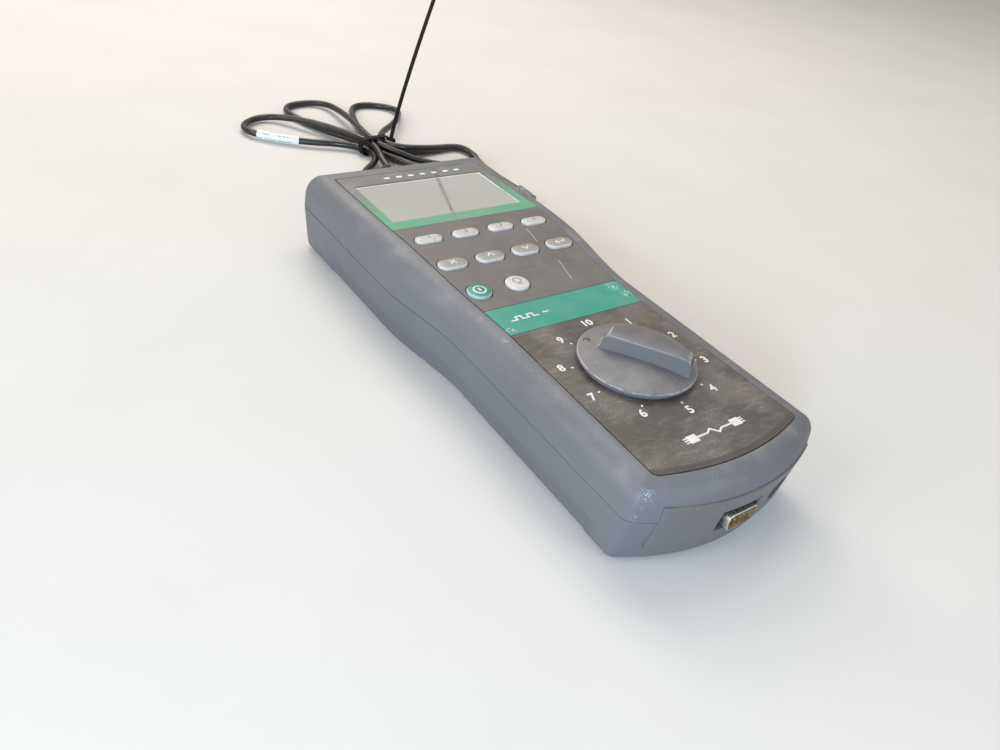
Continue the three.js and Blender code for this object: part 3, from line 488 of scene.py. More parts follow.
def clear_plastic():
    skin = Skin("clear_plastic", Transmission_Weight=0.85, IOR=1.5)
    skin.colour(skin.mix(skin.patches(80, 2, 0.3, 0.7), srgb(236, 240, 240), srgb(214, 222, 224)))
    skin.rough(skin.patches(240, 3, 0.3, 0.7, 0.06, 0.18))
    skin.relief(skin.noise(300, 2), 0.02)
    return skin.material


def window_print():
    """The window's glossy border: printed green down the sides and along the foot, turning grey towards the
    top.
    """
    skin = Skin("window_print", Coat_Weight=1.0, Coat_Roughness=0.03, Coat_IOR=1.6, Roughness=0.4)
    green = skin.between(skin.axis("Y"), WINDOW_Y + 8, FACE_TOP_Y - 11.2, 1.0, 0.0)
    shade = skin.mix(green, srgb(92, 92, 90), srgb(62, 150, 112))
    cloudy = skin.patches(70, 5, 0.4, 0.75)
    skin.colour(skin.mix(skin.both(cloudy, 0.25), shade, srgb(160, 158, 150)))
    skin.relief(skin.patches(500, 3, 0.66, 0.7, stretch=(1, 0.1, 1)), -0.01, 0.4)
    return skin.material


def display_glass():
    """An unlit liquid-crystal panel: a mirror behind a faintly green polariser, with fine pixel rows."""
    skin = Skin("display_glass", Metallic=0.78, Coat_Weight=1.0, Coat_Roughness=0.02, Coat_IOR=1.55)
    pixel = 0.3
    rows = skin.between(skin.math("PINGPONG", skin.axis("Y"), pixel), 0.0, 0.05, 0.93, 1.0)
    columns = skin.between(skin.math("PINGPONG", skin.axis("X"), pixel), 0.0, 0.05, 0.93, 1.0)
    shade = skin.mix(skin.patches(16, 3, 0.3, 0.7), srgb(240, 240, 231), srgb(226, 227, 219))
    skin.colour(skin.mix(skin.both(rows, columns), srgb(196, 198, 190), shade))
    skin.rough(skin.patches(90, 4, 0.3, 0.75, 0.03, 0.07))
    return skin.material


def wire_colours():
    """Insulated wires side by side, coloured two by two, with white stripes along them."""
    skin = Skin("wire_colours")
    across = skin.math("PINGPONG", skin.axis("X"), 2 * WIRE_PITCH)
    plain = skin.mix(skin.between(across, 0.9, 1.1), srgb(196, 98, 36), srgb(52, 92, 160))
    stripe = skin.patches(900, 1, 0.45, 0.5, stretch=(1, 0.03, 1))
    skin.colour(skin.mix(skin.both(stripe, 0.8), plain, srgb(220, 220, 214)))
    skin.rough(skin.patches(300, 2, 0.3, 0.7, 0.35, 0.5))
    return skin.material


def circuit_board():
    skin = Skin("circuit_board", Coat_Weight=0.4, Coat_Roughness=0.2)
    tracks = skin.between(skin.math("PINGPONG", skin.axis("X"), 1.3), 0.3, 0.5)
    broken = skin.both(tracks, skin.patches(120, 1, 0.45, 0.5))
    skin.colour(skin.mix(broken, srgb(22, 74, 44), srgb(48, 118, 66)))
    skin.rough(skin.patches(200, 2, 0.3, 0.7, 0.35, 0.5))
    skin.relief(broken, 0.03)
    return skin.material


def rubber():
    skin = Skin("mat_rubber", Specular_IOR_Level=0.3)
    skin.colour(skin.mix(skin.patches(90, 4, 0.4, 0.8), srgb(38, 38, 40), srgb(70, 68, 66)))
    skin.rough(skin.patches(300, 3, 0.3, 0.7, 0.7, 0.9))
    skin.relief(skin.noise(1400, 2), 0.02)
    return skin.material


# Each scuffed place is a point and a radius: on the corner beside the connectors, then by the band's ends.
CORNER_SCUFFS = [((-48, -139, 42), 5), ((-51, -141, 36), 4), ((-52, -139, 31), 3)]
CASE_SCUFFS = CORNER_SCUFFS + [((-45, -18, 44), 3), ((-44, -38, 44), 3)]
BAND_SCUFFS = [((35, -19, 45), 6), ((38, -27, 45), 5), ((-38, -33, 45), 4)]
SKINS = {
    "case_plastic": moulded("case_plastic", srgb(103, 105, 110), scuffs=CASE_SCUFFS),
    "plate_plastic": moulded("plate_plastic", srgb(104, 102, 103), 0.46, 0.015),
    # the knob's rims are painted paler: partly rubbed wear, partly a painted highlight
    "knob_plastic": moulded("knob_plastic", srgb(106, 105, 108), 0.42, 0.012, 0.36, edge_rub_and_highlight=0.5),
    "dial_film": printed_film("dial_film", srgb(66, 60, 56), 0.5, darker_foot_strip=True),
    "band_film": printed_film("band_film", srgb(34, 140, 120), 0.16, 0.34, BAND_SCUFFS),
    "key_film": printed_film("key_film", srgb(92, 88, 87), 0.2),
    "window_plastic": window_print(),
    "display_glass": display_glass(),
    "steel": metal("steel", srgb(176, 174, 170), 0.35),
    # the second colour of each key is the painted highlight on its rounded rim
    "ivory_plastic": key_plastic("ivory_plastic", srgb(184, 180, 170), srgb(208, 206, 200), 0.42),
    "grey_plastic": key_plastic("grey_plastic", srgb(146, 142, 139), srgb(204, 201, 198), 0.4),
    "teal_plastic": key_plastic("teal_plastic", srgb(36, 128, 114), srgb(158, 190, 184), 0.4),
    "white_plastic": key_plastic("white_plastic", srgb(196, 194, 190), srgb(204, 203, 200), 0.4),
    "mat_rubber": rubber(),
    "circuit_board": circuit_board(),
    "battery_wrap": plain_plastic("battery_wrap", srgb(39, 64, 110), 0.4, coat=0.3),
    "connector_metal": metal("connector_metal", srgb(232, 229, 223), 0.28, tarnish=0.08),
    "pin_gold": metal("pin_gold", srgb(214, 176, 96), 0.25),
    "black_plastic": plain_plastic("black_plastic", srgb(30, 29, 30), 0.38),
    "cord_jacket": cord_jacket(),
    "label_film": label_film(),
    "clear_plastic": clear_plastic(),
}
TIE_NYLON = plain_plastic("tie_nylon", srgb(20, 19, 20), 0.6, rub_and_highlight_strength=0.05, shine=0.15)
WIRE_COLOURS = wire_colours()
WHITE_INK = plain_plastic("white_ink", srgb(226, 226, 224), 0.5)
GREY_INK = plain_plastic("grey_ink", srgb(128, 124, 118), 0.5)
BEIGE_PLASTIC = plain_plastic("beige_plastic", srgb(226, 208, 172), 0.4)
SCRATCH = plain_plastic("scratched_film", srgb(190, 186, 180), 0.6)


# ---- Floor ----


def floor_skin():
    skin = Skin("floor", Specular_IOR_Level=0.1)
    skin.colour(skin.mix(skin.patches(9, 6, 0.3, 0.8), srgb(210, 209, 206), srgb(206, 205, 202)))
    skin.rough(skin.patches(20, 3, 0.3, 0.7, 0.9, 0.95))
    return skin.material


def add_floor():
    reach, drop = 12, 0.0003  # metres
    corners = [(-reach, -reach, 0), (reach, -reach, 0), (reach, reach, 0), (-reach, reach, 0)]
    mesh = bpy.data.meshes.new("floor")
    mesh.from_pydata(corners, [], [(0, 1, 2, 3)])
    mesh.materials.append(floor_skin())
    floor = added("floor", mesh)
    floor.location.z = -drop


add_floor()


# ---- Meshes ----


def solid(vertices, faces):
    """An object from points in millimetres, with its faces turned outwards."""
    mesh = bpy.data.meshes.new("solid")
    mesh.from_pydata([tuple(MM * c for c in v) for v in vertices], [], faces)
    shell = bmesh.new()
    shell.from_mesh(mesh)
    bmesh.ops.recalc_face_normals(shell, faces=shell.faces)
    shell.to_mesh(mesh)
    shell.free()
    return added("solid", mesh)


def combine(first, others, operation):
    """Joins, or cuts others out of, the first object. The others are used up."""
    for other in others:
        modifier = first.modifiers.new("combine", "BOOLEAN")
        modifier.object = other
        modifier.operation = operation
        modifier.solver = "MANIFOLD"
    graph = bpy.context.evaluated_depsgraph_get()
    mesh = bpy.data.meshes.new_from_object(first.evaluated_get(graph))
    first.modifiers.clear()
    first.data = mesh
    for other in others:
        bpy.data.objects.remove(other)
    return first


def cut(first, *others):
    return combine(first, others, "DIFFERENCE")


def join(first, *others):
    return combine(first, others, "UNION")


def soften(made, width):
    """Rounds the sharp edges of a finished shape."""
    modifier = made.modifiers.new("soften", "BEVEL")
    modifier.width = width * MM
    modifier.segments = 2
    modifier.limit_method = "ANGLE"
    modifier.angle_limit = math.radians(35)
    return combine(made, [], "UNION")


def moved(made, x=0, y=0, z=0, turn=0.0):
    """Turns the object's points about +Z, then shifts them, in millimetres."""
    made.data.transform(Matrix.Translation(Vector((x, y, z)) * MM) @ Matrix.Rotation(turn, 4, "Z"))
    return made


def finish_piece(made, name, slot, body="case", nodes=(), skin=None, crease=30):
    """Names a shape, gives it its material, and lets it ride on its CAD body in place of some CAD nodes."""
    made.name = name
    made.data.name = name
    made.data.materials.clear()
    made.data.materials.append(skin or SKINS[slot])
    made.data.shade_smooth()
    made.data.set_sharp_from_angle(angle=math.radians(crease))
    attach(made, body)
    if nodes:
        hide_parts(*nodes)
    return made


def skinned(rings, closed=False):
    """Faces between rings of the same length. Unless the stack is closed, its ends are left open."""
    count = len(rings[0])
    levels = len(rings)
    faces = []
    for level in range(levels if closed else levels - 1):
        a = level * count
        b = (level + 1) % levels * count
        for i in range(count):
            j = (i + 1) % count
            faces.append((a + i, a + j, b + j, b + i))
    return faces


def stacked(rings, closed=False):
    """A solid through rings of points, with flat ends, or a ring-shaped one."""
    faces = skinned(rings, closed)
    count = len(rings[0])
    if not closed:
        top = (len(rings) - 1) * count
        faces += [tuple(range(count))[::-1], tuple(range(top, top + count))]
    return solid([point for ring in rings for point in ring], faces)


def symmetric(halves):
    """A solid through levels that are mirrored in X. Each level is its right half, from low Y to high Y.
    Strips from side to side close the two ends, so an end may be curved along Y."""
    size = len(halves[0])
    starts, ends = [halves[0][i][0] < 1e-6 for i in (0, -1)]  # whether the half starts or ends on the axis
    rings = []
    for half in halves:
        off_axis = half[starts : size - ends]
        rings.append(half + [(-x, y, z) for x, y, z in reversed(off_axis)])
    count = len(rings[0])

    def mirror(i):
        on_axis = (i == 0 and starts) or (i == size - 1 and ends)
        return i if on_axis else 2 * size - 1 - i - ends

    faces = skinned(rings)
    for base in (0, (len(rings) - 1) * count):
        for i in range(size - 1):
            corners = dict.fromkeys([i, i + 1, mirror(i + 1), mirror(i)])
            if len(corners) > 2:
                faces.append(tuple(base + c for c in corners))
    return solid([point for ring in rings for point in ring], faces)


def lathe(profile, sides=48):
    """A solid turned about the Z axis from (radius, z) pairs, the first and last of which are on the axis."""
    points = [(0, 0, profile[0][1]), (0, 0, profile[-1][1])]
    inner = profile[1:-1]
    for radius, z in inner:
        for i in range(sides):
            turn = 2 * math.pi * i / sides
            points.append((radius * math.cos(turn), radius * math.sin(turn), z))
    last = 2 + (len(inner) - 1) * sides
    faces = []
    for i in range(sides):
        j = (i + 1) % sides
        faces.append((0, 2 + i, 2 + j))
        faces.append((1, last + j, last + i))
        for level in range(len(inner) - 1):
            a = 2 + level * sides
            faces.append((a + i, a + j, a + sides + j, a + sides + i))
    return solid(points, faces)


def along_y(made):
    """Lays a shape that was turned about Z along the Y axis, its +Z towards -Y."""
    made.data.transform(Matrix.Rotation(math.radians(90), 4, "X"))
    return made


def prism(outline, z0, z1):
    """A solid with this outline, a list of (x, y) pairs, from one height to another."""
    return stacked([[(x, y, z) for x, y in outline] for z in (z0, z1)])


def box(x0, x1, y0, y1, z0, z1):
    return prism([(x0, y0), (x1, y0), (x1, y1), (x0, y1)], z0, z1)


def post(x, y, radius, z0, z1, sides=40):
    profile = [(0, z0), (radius, z0), (radius, z1), (0, z1)]
    return moved(lathe(profile, sides), x, y)


def bar(x, z, radius, y0, y1, sides=40):
    """A round bar along Y."""
    profile = [(0, -y1), (radius, -y1), (radius, -y0), (0, -y0)]
    return moved(along_y(lathe(profile, sides)), x, 0, z)


def brick(x, z, half_x, half_z, radius, steps, levels):
    """A rounded block along Y. Each level is (y, how far its outline is drawn in)."""
    rings = []
    for y, inset in levels:
        outline = rounded_rectangle(half_x - inset, half_z - inset, radius, steps)
        rings.append([(x + px, y, z + pz) for px, pz in outline])
    return stacked(rings)


def arc(cx, cy, radius, start, end, steps):
    turns = divided(start, end, steps)
    return [(cx + radius * math.cos(t), cy + radius * math.sin(t)) for t in turns]


def rounded_rectangle(half_x, half_y, radius, steps):
    x, y = half_x - radius, half_y - radius
    points = []
    for i, (cx, cy) in enumerate([(x, -y), (x, y), (-x, y), (-x, -y)]):
        points += arc(cx, cy, radius, (i - 1) * math.pi / 2, i * math.pi / 2, steps)
    return points


def divided(start, end, count):
    """Places from start to end, in this many equal steps."""
    return [start + (end - start) * i / count for i in range(count + 1)]


def spaced(start, end, step):
    """Places from start to end, about a step apart."""
    return divided(start, end, max(1, round(abs(end - start) / step)))


def clamp01(t):
    return min(1.0, max(0.0, t))


def smooth(t):
    return clamp01(t) ** 2 * (3 - 2 * clamp01(t))


# ---- The case's form ----


def half_width(y):
    neck = smooth((y - NECK_LOW) / (NECK_HIGH - NECK_LOW))
    flare = clamp01((y - NECK_HIGH) / (HALF_LENGTH - NECK_HIGH))
    return BODY_HALF + (HEAD_HALF - BODY_HALF) * neck + FLARE * flare


def crown(y):
    """How far the face stands above its height at the dial end."""
    fall = clamp01((y - RISE_TO) / (FACE_TOP_Y - RISE_TO))
    return HEAD_RISE * smooth((y - RISE_FROM) / (RISE_TO - RISE_FROM)) - HEAD_FALL * fall


def face_height(x, y):
    return FACE_Z + crown(y)


def bow_centre(z):
    return -HALF_LENGTH + BOW_RADIUS + END_LEAN * max(0, LIP_Z - z)


def right_half(inset, z):
    """Half of the case's outline, drawn in, from the middle of the connector end up the right side."""
    bow_y = bow_centre(z)
    round_low = max(CORNER - inset, LEAST_ROUND)
    corner_x = BODY_HALF - inset - round_low
    bow_reach = BOW_RADIUS - inset - round_low
    turn = math.asin(corner_x / bow_reach)
    corner_y = bow_y - bow_reach * math.cos(turn)
    round_high = max(HEAD_CORNER - inset, LEAST_ROUND)
    top_y = HALF_LENGTH - inset - round_high
    quarter = math.pi / 2
    side = [(half_width(y) - inset, y) for y in divided(corner_y, top_y, 84)[1:-1]]
    return [
        *arc(0, bow_y, BOW_RADIUS - inset, -quarter, -quarter + turn, 18)[:-1],
        *arc(corner_x, corner_y, round_low, -quarter + turn, 0, 10),
        *side,
        *arc(half_width(top_y) - inset - round_high, top_y, round_high, 0, quarter, 12),
    ]


def case_form(levels):
    """A solid through levels of the case's outline. Each level is (z, inset, its share of the crown)."""
    halves = []
    for z, inset, lift in levels:
        halves.append([(x, y, z + lift * crown(y)) for x, y in right_half(inset, z)])
    return symmetric(halves)


def shoulder(foot, inset, radius, steps):
    """Levels up a rounded shoulder, which takes on the crown as it rises."""
    levels = []
    for lift in divided(0, 1, steps):
        turn = math.pi / 2 * lift
        levels.append((foot + radius * math.sin(turn), inset + radius * (1 - math.cos(turn)), lift))
    return levels


def heel(inset, radius, steps):
    """Levels up a rounded heel, from the flat back."""
    return [(HEEL - z, edge, 0) for z, edge, _ in reversed(shoulder(0, inset, radius, steps))]


def face_outline(y0, y1, margin):
    """Right half of a stretch of the face, from low Y to high Y. The face's own corners are round."""
    corner, joint = 1.4, 0.3
    foot, stop = y0 - margin, y1 + margin
    low, high = film_half(y0) + margin, film_half(y1) + margin
    round_high = corner if y1 == FACE_TOP_Y else joint
    if y0 == FACE_LOW_Y:
        round_low = corner
        right = [(x, foot - FACE_BOW * (1 - (x / low) ** 2)) for x in divided(0, low - corner, 18)]
    else:
        round_low = joint
        right = [(low - joint, foot)]
    side = divided(foot + round_low, stop - round_high, max(4, round((y1 - y0) / 3)))
    right += [(low, side[0])]
    right += [(film_half(y) + margin, y) for y in side[1:-1]]
    right += [(high, side[-1])]
    right += [(high - 0.3 * round_high, stop - 0.3 * round_high)]
    right += [(high - round_high, stop)]
    return right


def face_form(y0, y1, levels):
    """A solid over a stretch of the face. Each level is (height over the face, margin)."""
    halves = []
    for height, margin in levels:
        halves.append([(x, y, height + face_height(x, y)) for x, y in face_outline(y0, y1, margin)])
    return symmetric(halves)


def film(y0, y1):
    chamfer = 0.12
    return face_form(y0, y1, [(-FILM, 0), (-chamfer, 0), (0, -chamfer)])


def recess(y0, depth):
    """The cutter for a recess in the face, with a softened lip."""
    lip = 0.35
    return face_form(y0, FACE_TOP_Y, [(-depth, GAP), (-lip, GAP), (0, GAP + lip), (FACE_Z, GAP + lip)])


# ---- Keys ----

# Each key has a name, a column, a form and a material.
MENU_NAMES = ["escape_key", "up_key", "down_key", "enter_key"]
KEYS = [(f"soft_key_{i + 1}", i, SOFT_KEY, "ivory_plastic") for i in range(4)]
KEYS += [(name, i, MENU_KEY, "grey_plastic") for i, name in enumerate(MENU_NAMES)]
KEYS += [("power_key", 0, ROUND_KEY, "teal_plastic"), ("light_key", 1, ROUND_KEY, "white_plastic")]
KEY_ROUND = 1.0
KEY_DOME = 0.45
KEY_DEPTHS = [0, 0.08, 0.22, 0.42, 0.68, 1.0, 1.5, 2.1, 2.8, 3.6, 4.4, 5.2]  # inwards from a key's outline


def key_x(column):
    return (column - 1.5) * KEY_COLUMN


def key_outline(form, margin):
    """Right half of a bar with half-round ends, or of a circle, about its own middle."""
    width, height, _ = form
    reach = (width - height) / 2
    return arc(reach, 0, height / 2 + margin, -math.pi / 2, math.pi / 2, 24)


def key_prism(column, form, margin, z0, z1):
    half = key_outline(form, margin)
    made = symmetric([[(max(x, 0.0), y, z) for x, y in half] for z in (z0, z1)])
    return moved(made, key_x(column), form[2])


def key_height(form, depth):
    """Height of a key's top at a depth in from its outline."""
    radius = form[1] / 2
    top = face_height(0, form[2]) + KEY_PROUD - KEY_DOME
    if depth < KEY_ROUND:
        return top - KEY_ROUND + math.sqrt(max(0.0, KEY_ROUND**2 - (KEY_ROUND - depth) ** 2))
    share = clamp01((depth - KEY_ROUND) / (radius - KEY_ROUND))
    return top + KEY_DOME * (1 - (1 - share) ** 2)


def key_cap(column, form):
    _, height, y = form
    low = y - height / 2 - 2
    base = CEILING + crown(low) - KEY_FLANGE - 1.5 * GAP
    radius = height / 2
    levels = [(base, 1), (base + KEY_FLANGE, 1), (base + KEY_FLANGE, 0)]
    for depth in KEY_DEPTHS:
        if depth < radius - 0.2:
            levels.append((key_height(form, depth), -depth))
    levels.append((key_height(form, radius), -radius + 0.15))
    halves = [[(max(x, 0.0), py, z) for x, py in key_outline(form, margin)] for z, margin in levels]
    return moved(symmetric(halves), key_x(column), y)


# ---- Printed marks ----

INK = 0.05


def laid(flat, height_at, pitch=0.5):
    """Lays a flat mark on a surface, after slicing it finely enough to bend. height_at gives the height."""
    sheet = bmesh.new()
    sheet.from_mesh(flat.data)
    for axis in (0, 1):
        places = [vertex.co[axis] / MM for vertex in sheet.verts]
        normal = Vector((axis == 0, axis == 1, 0))
        for place in spaced(min(places), max(places), pitch)[1:-1]:
            geometry = sheet.verts[:] + sheet.edges[:] + sheet.faces[:]
            bmesh.ops.bisect_plane(sheet, geom=geometry, plane_co=normal * place * MM, plane_no=normal)
    for vertex in sheet.verts:
        x, y = vertex.co.x / MM, vertex.co.y / MM
        vertex.co.z += height_at(x, y) * MM
    sheet.to_mesh(flat.data)
    sheet.free()
    return flat


def ink_shape(polygons, height_at):
    """Thin raised ink from flat polygons, laid on a surface."""
    return laid(merged([prism(polygon, -INK, INK) for polygon in polygons]), height_at)


def inked(made, name, body="case", skin=WHITE_INK):
    finish_piece(made, name, "white_plastic", body, skin=skin)


def stroke(points, width):
    """A line of the given width through points, with mitred corners, as one polygon for each stretch."""
    chain = [Vector(p) for p in points]
    closed = (chain[0] - chain[-1]).length < 1e-6
    runs = [(after - before).normalized() for before, after in zip(chain, chain[1:])]
    arriving = [runs[-1] if closed else runs[0], *runs]
    leaving = [*runs, runs[0] if closed else runs[-1]]
    edges = []
    for here, first, second in zip(chain, arriving, leaving):
        middle = (first + second).normalized()
        side = Vector((-middle.y, middle.x)) * width / 2 / max(0.4, middle.dot(first))
        edges.append((here - side, here + side))
    return [[tuple(a[0]), tuple(b[0]), tuple(b[1]), tuple(a[1])] for a, b in zip(edges, edges[1:])]


def placed(polygons, x, y):
    return [[(x + px, y + py) for px, py in polygon] for polygon in polygons]


def digits(text, x, y, size, height_at):
    """A number in the built-in typeface, laid on a surface with its middle at (x, y)."""
    data = bpy.data.curves.new("number", "FONT")
    data.body = text
    data.size = size * MM
    data.align_x = "CENTER"
    data.align_y = "CENTER"
    data.extrude = INK * MM
    data.offset = 0.03 * size * MM
    data.resolution_u = 4
    text_object = added("number", data)
    graph = bpy.context.evaluated_depsgraph_get()
    mesh = bpy.data.meshes.new_from_object(text_object.evaluated_get(graph))
    bpy.data.objects.remove(text_object)
    return laid(moved(added("number", mesh), x, y), height_at)


def merged(parts):
    """One object from several."""
    whole = bmesh.new()
    for part in parts:
        whole.from_mesh(part.data)
        bpy.data.objects.remove(part)
    mesh = bpy.data.meshes.new("merged")
    whole.to_mesh(mesh)
    whole.free()
    return added("merged", mesh)


# ---- Lead ----


def smoothed(points, rounds=4):
    """Cuts the corners of a chain of points, again and again, until it is a smooth line."""
    chain = [Vector(p) for p in points]
    for _ in range(rounds):
        inner = [a.lerp(b, t) for a, b in zip(chain, chain[1:]) for t in (0.25, 0.75)]
        chain = [chain[0], *inner, chain[-1]]
    return chain


def direction(points, i):
    """Which way a line of points runs at one of them."""
    return (points[min(i + 1, len(points) - 1)] - points[max(i - 1, 0)]).normalized()


def tube_frames(points):
    """Two directions across a line at each of its points, carried along without twist."""
    frames = []
    across = Vector((0, 0, 1))
    for i, point in enumerate(points):
        along = direction(points, i)
        across = (across - across.dot(along) * along).normalized()
        frames.append((point, across.copy(), along.cross(across)))
    return frames


def lead_cord(chain):
    data = bpy.data.curves.new("patch_lead", "CURVE")
    data.dimensions = "3D"
    spline = data.splines.new("POLY")
    spline.points.add(len(chain) - 1)
    for point, place in zip(spline.points, chain):
        point.co = (*(place * MM), 1)
    data.bevel_depth = CORD_RADIUS * MM
    data.bevel_resolution = 5
    data.use_fill_caps = True
    data.materials.append(SKINS["cord_jacket"])
    cord = added("patch_lead", data)
    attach(cord, "case")
    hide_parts("lead_cord")
    return cord


def label_sleeve(chain):
    """A printed sleeve wrapped round the cord, slightly flared and overlapping itself along one side."""
    lengths = np.cumsum([0] + [(b - a).length for a, b in zip(chain, chain[1:])])
    share = lengths / lengths[-1]
    inside = [p for p, s in zip(chain, share) if LABEL_SPAN[0] <= s <= LABEL_SPAN[1]]
    sides = 36
    lap, thick = 0.3, 0.35
    frames = tube_frames(inside)
    rings = []
    for sheet, ordered in ((0, frames), (thick, frames[::-1])):
        for place, across, other in ordered:
            ring = []
            for i in range(sides):
                turn = 2 * math.pi * i / sides
                radius = LABEL_RADIUS - lap + lap * clamp01(1 - i / sides * 1.6) - sheet
                ring.append(tuple(place + radius * (math.cos(turn) * across + math.sin(turn) * other)))
            rings.append(ring)
    made = stacked(rings, closed=True)
    layer = made.data.uv_layers.new(name="wrap")
    steps = len(frames)
    for corner in made.data.loops:
        level, side = divmod(corner.vertex_index, sides)
        level = min(level, 2 * steps - 1 - level)
        layer.data[corner.index].uv = (side / sides, level / (steps - 1))
    return finish_piece(made, "cord_label", "label_film", nodes=["label_sleeve"])


def boot(end, x, y, z):
    """A plug's ribbed strain relief, narrowing towards the cord."""
    thin, swell, wide = 3.3, 0.9, 1.3
    rounded = 0.03  # share of the length over which the tip is rounded
    first_groove, pitch, ribbed, groove_depth, core = 3, 3.4, 15, 0.75, 2.9
    rings = []
    for share in divided(0, 1, 90):
        depth = share * BOOT_LENGTH
        radius = thin + swell * share
        if share < rounded:
            radius -= 0.5 * (1 - share / rounded) ** 2
        groove = (depth - first_groove) / pitch
        if depth < ribbed and abs(groove - round(groove)) < 0.2 and round(groove) >= 0:
            radius = max(core, radius - groove_depth)
        circle = arc(0, 0, radius, 0, 2 * math.pi, 44)[:-1]
        rings.append([(x + wide * px, y - GAP - depth, z + pz) for px, pz in circle])
    return finish_piece(stacked(rings), f"{end}_relief", "cord_jacket", nodes=[f"{end}_boot"], crease=50)


def plug(end, x, y, z):
    """A clear modular plug with its latch, and the contacts, wires and jacket inside it."""
    back = y - BOOT_LENGTH - 2 * GAP
    front = back - PLUG_LENGTH
    edge, slot_half, blade_half, wire_radius, flattened = 0.3, 0.2, 0.15, 0.42, 1.4
    levels = ((back, edge), (back - edge, 0), (front + edge, 0), (front, edge))
    body = brick(x, z, PLUG_HALF, PLUG_HALF_HEIGHT, 0.6, 3, levels)
    foot = z - PLUG_HALF_HEIGHT
    places = [x + (i - 3.5) * WIRE_PITCH for i in range(8)]
    slots = [box(px - slot_half, px + slot_half, front - 1, front + 5, foot - 1, z - 1.6) for px in places]
    cut(body, *slots)
    # the latch as (y, height over the plug's middle) pairs: its outer face, then its inner one
    latch = [(front + 1, 4.3), (front + 5, 5.0), (back - 6, 5.4), (back - 4, 5.4)]
    latch += [(back - 4, 4.5), (back - 7, 4.3), (front + 5, 3.5), (front + 1, 3.4)]
    join(body, stacked([[(x + side * 3, py, z + pz) for py, pz in latch] for side in (-1, 1)]))
    contacts, wires = [], []
    for px in places:
        contacts.append(box(px - blade_half, px + blade_half, front + 0.6, front + 4.6, foot + 0.4, z - 1.7))
        wires.append(bar(px, z - 0.6, wire_radius, front + 1.5, back - 7, 12))
    contacts, wires = merged(contacts), merged(wires)
    jacket = bar(0, z - 0.4, CORD_RADIUS, back - 7.2, back - 0.5, 28)
    jacket.data.transform(Matrix.Diagonal((flattened, 1, 1, 1)))
    return [
        finish_piece(body, f"{end}_plug_body", "clear_plastic", nodes=[f"{end}_plug"]),
        finish_piece(contacts, f"{end}_plug_contacts", "pin_gold"),
        finish_piece(wires, f"{end}_plug_wires", "ivory_plastic", skin=WIRE_COLOURS),
        finish_piece(moved(jacket, x), f"{end}_plug_jacket", "cord_jacket"),
    ]


def toothed_tail(foot):
    """The tie's tail, from its foot up to its tip: a thin toothed strip with a slightly domed inner face."""
    knee, tip = Vector(TAIL_KNEE), Vector(TAIL_TIP)
    line = [(1 - t) ** 2 * foot + 2 * t * (1 - t) * knee + t**2 * tip for t in divided(0, 1, 420)]
    half, outer, tooth, dome = TIE_WIDTH / 2 - 0.6, TIE_THICK / 2, 0.3, 0.1
    rings = []
    for i, point in enumerate(line):
        along = direction(line, i)
        across = Vector((0, 1, 0))
        across = (across - across.dot(along) * along).normalized()
        out = along.cross(across)
        inner = (tooth if i % 2 else 0) - outer
        low = inner - dome
        corners = ((-1, inner), (-0.86, low), (0.86, low), (1, inner), (1, outer), (-1, outer))
        rings.append([tuple(point + a * half * across + b * out) for a, b in corners])
    return stacked(rings)


def cable_tie():
    """A nylon tie: its band and its head, and the long tail that stands up and away from it."""
    middle_x, middle_z, half_x, half_z = 1.6, 6.85, 13.5, 6.65
    wide, thick = Vector((0, TIE_WIDTH / 2, 0)), TIE_THICK / 2
    ring = rounded_rectangle(half_x - thick, half_z - thick, 4.6, 10)
    path = [Vector((middle_x + px, 0, middle_z + pz)) for px, pz in ring]
    sections = []
    for i, point in enumerate(path):
        along = (path[(i + 1) % len(path)] - path[i - 1]).normalized()
        out = thick * along.cross(Vector((0, 1, 0)))
        sections.append([tuple(point + a * wide + b * out) for a, b in ((-1, -1), (1, -1), (1, 1), (-1, 1))])
    band = stacked(sections, closed=True)
    head_x, head_half = middle_x + half_x - 0.5, TIE_WIDTH / 2 + 0.8
    head = box(head_x, head_x + 4.6, -head_half, head_half, middle_z - 3, middle_z + 3.4)
    join(band, soften(head, 0.5))
    tail = toothed_tail(Vector((head_x + 2, 0, middle_z + 2)))
    for part in (band, tail):
        moved(part, *TIE_PLACE, 0, TIE_TURN)
    finish_piece(tail, "tie_tail", "black_plastic", skin=TIE_NYLON, crease=40)
    return finish_piece(band, "lead_tie", "black_plastic", nodes=["cable_tie"], skin=TIE_NYLON, crease=40)


def build_lead():
    chain = smoothed(LEAD_ROUTE)
    cord = lead_cord(chain)
    label = label_sleeve(chain)
    with_cord = [label, cable_tie()]
    for end, place in (("near", LEAD_ROUTE[0]), ("far", LEAD_ROUTE[-1])):
        with_cord += [boot(end, *place), *plug(end, *place)]


build_lead()


# ---- Shells ----


def end_rows(inset, end):
    """Rows of points across one end of the case, at an inset from its surface, up the height of a plate."""
    rows = []
    for z in spaced(PLATE_LOW, PLATE_HIGH, 3):
        places = spaced(-PLATE_HALF, PLATE_HALF, 3)
        if end < 0:
            radius = BOW_RADIUS - inset
            rows.append([(x, bow_centre(z) - math.sqrt(radius**2 - x**2), z) for x in places])
        else:
            rows.append([(x, HALF_LENGTH - inset, z) for x in places])
    return rows


def plate(end):
    """A thin plate that continues the curve of the case's end, with softened edges."""
    rings = []
    for outer, inner in zip(end_rows(GAP * 0.3, end), end_rows(WALL, end)):
        rings.append(outer + inner[::-1])
    return soften(stacked(rings), 0.25)


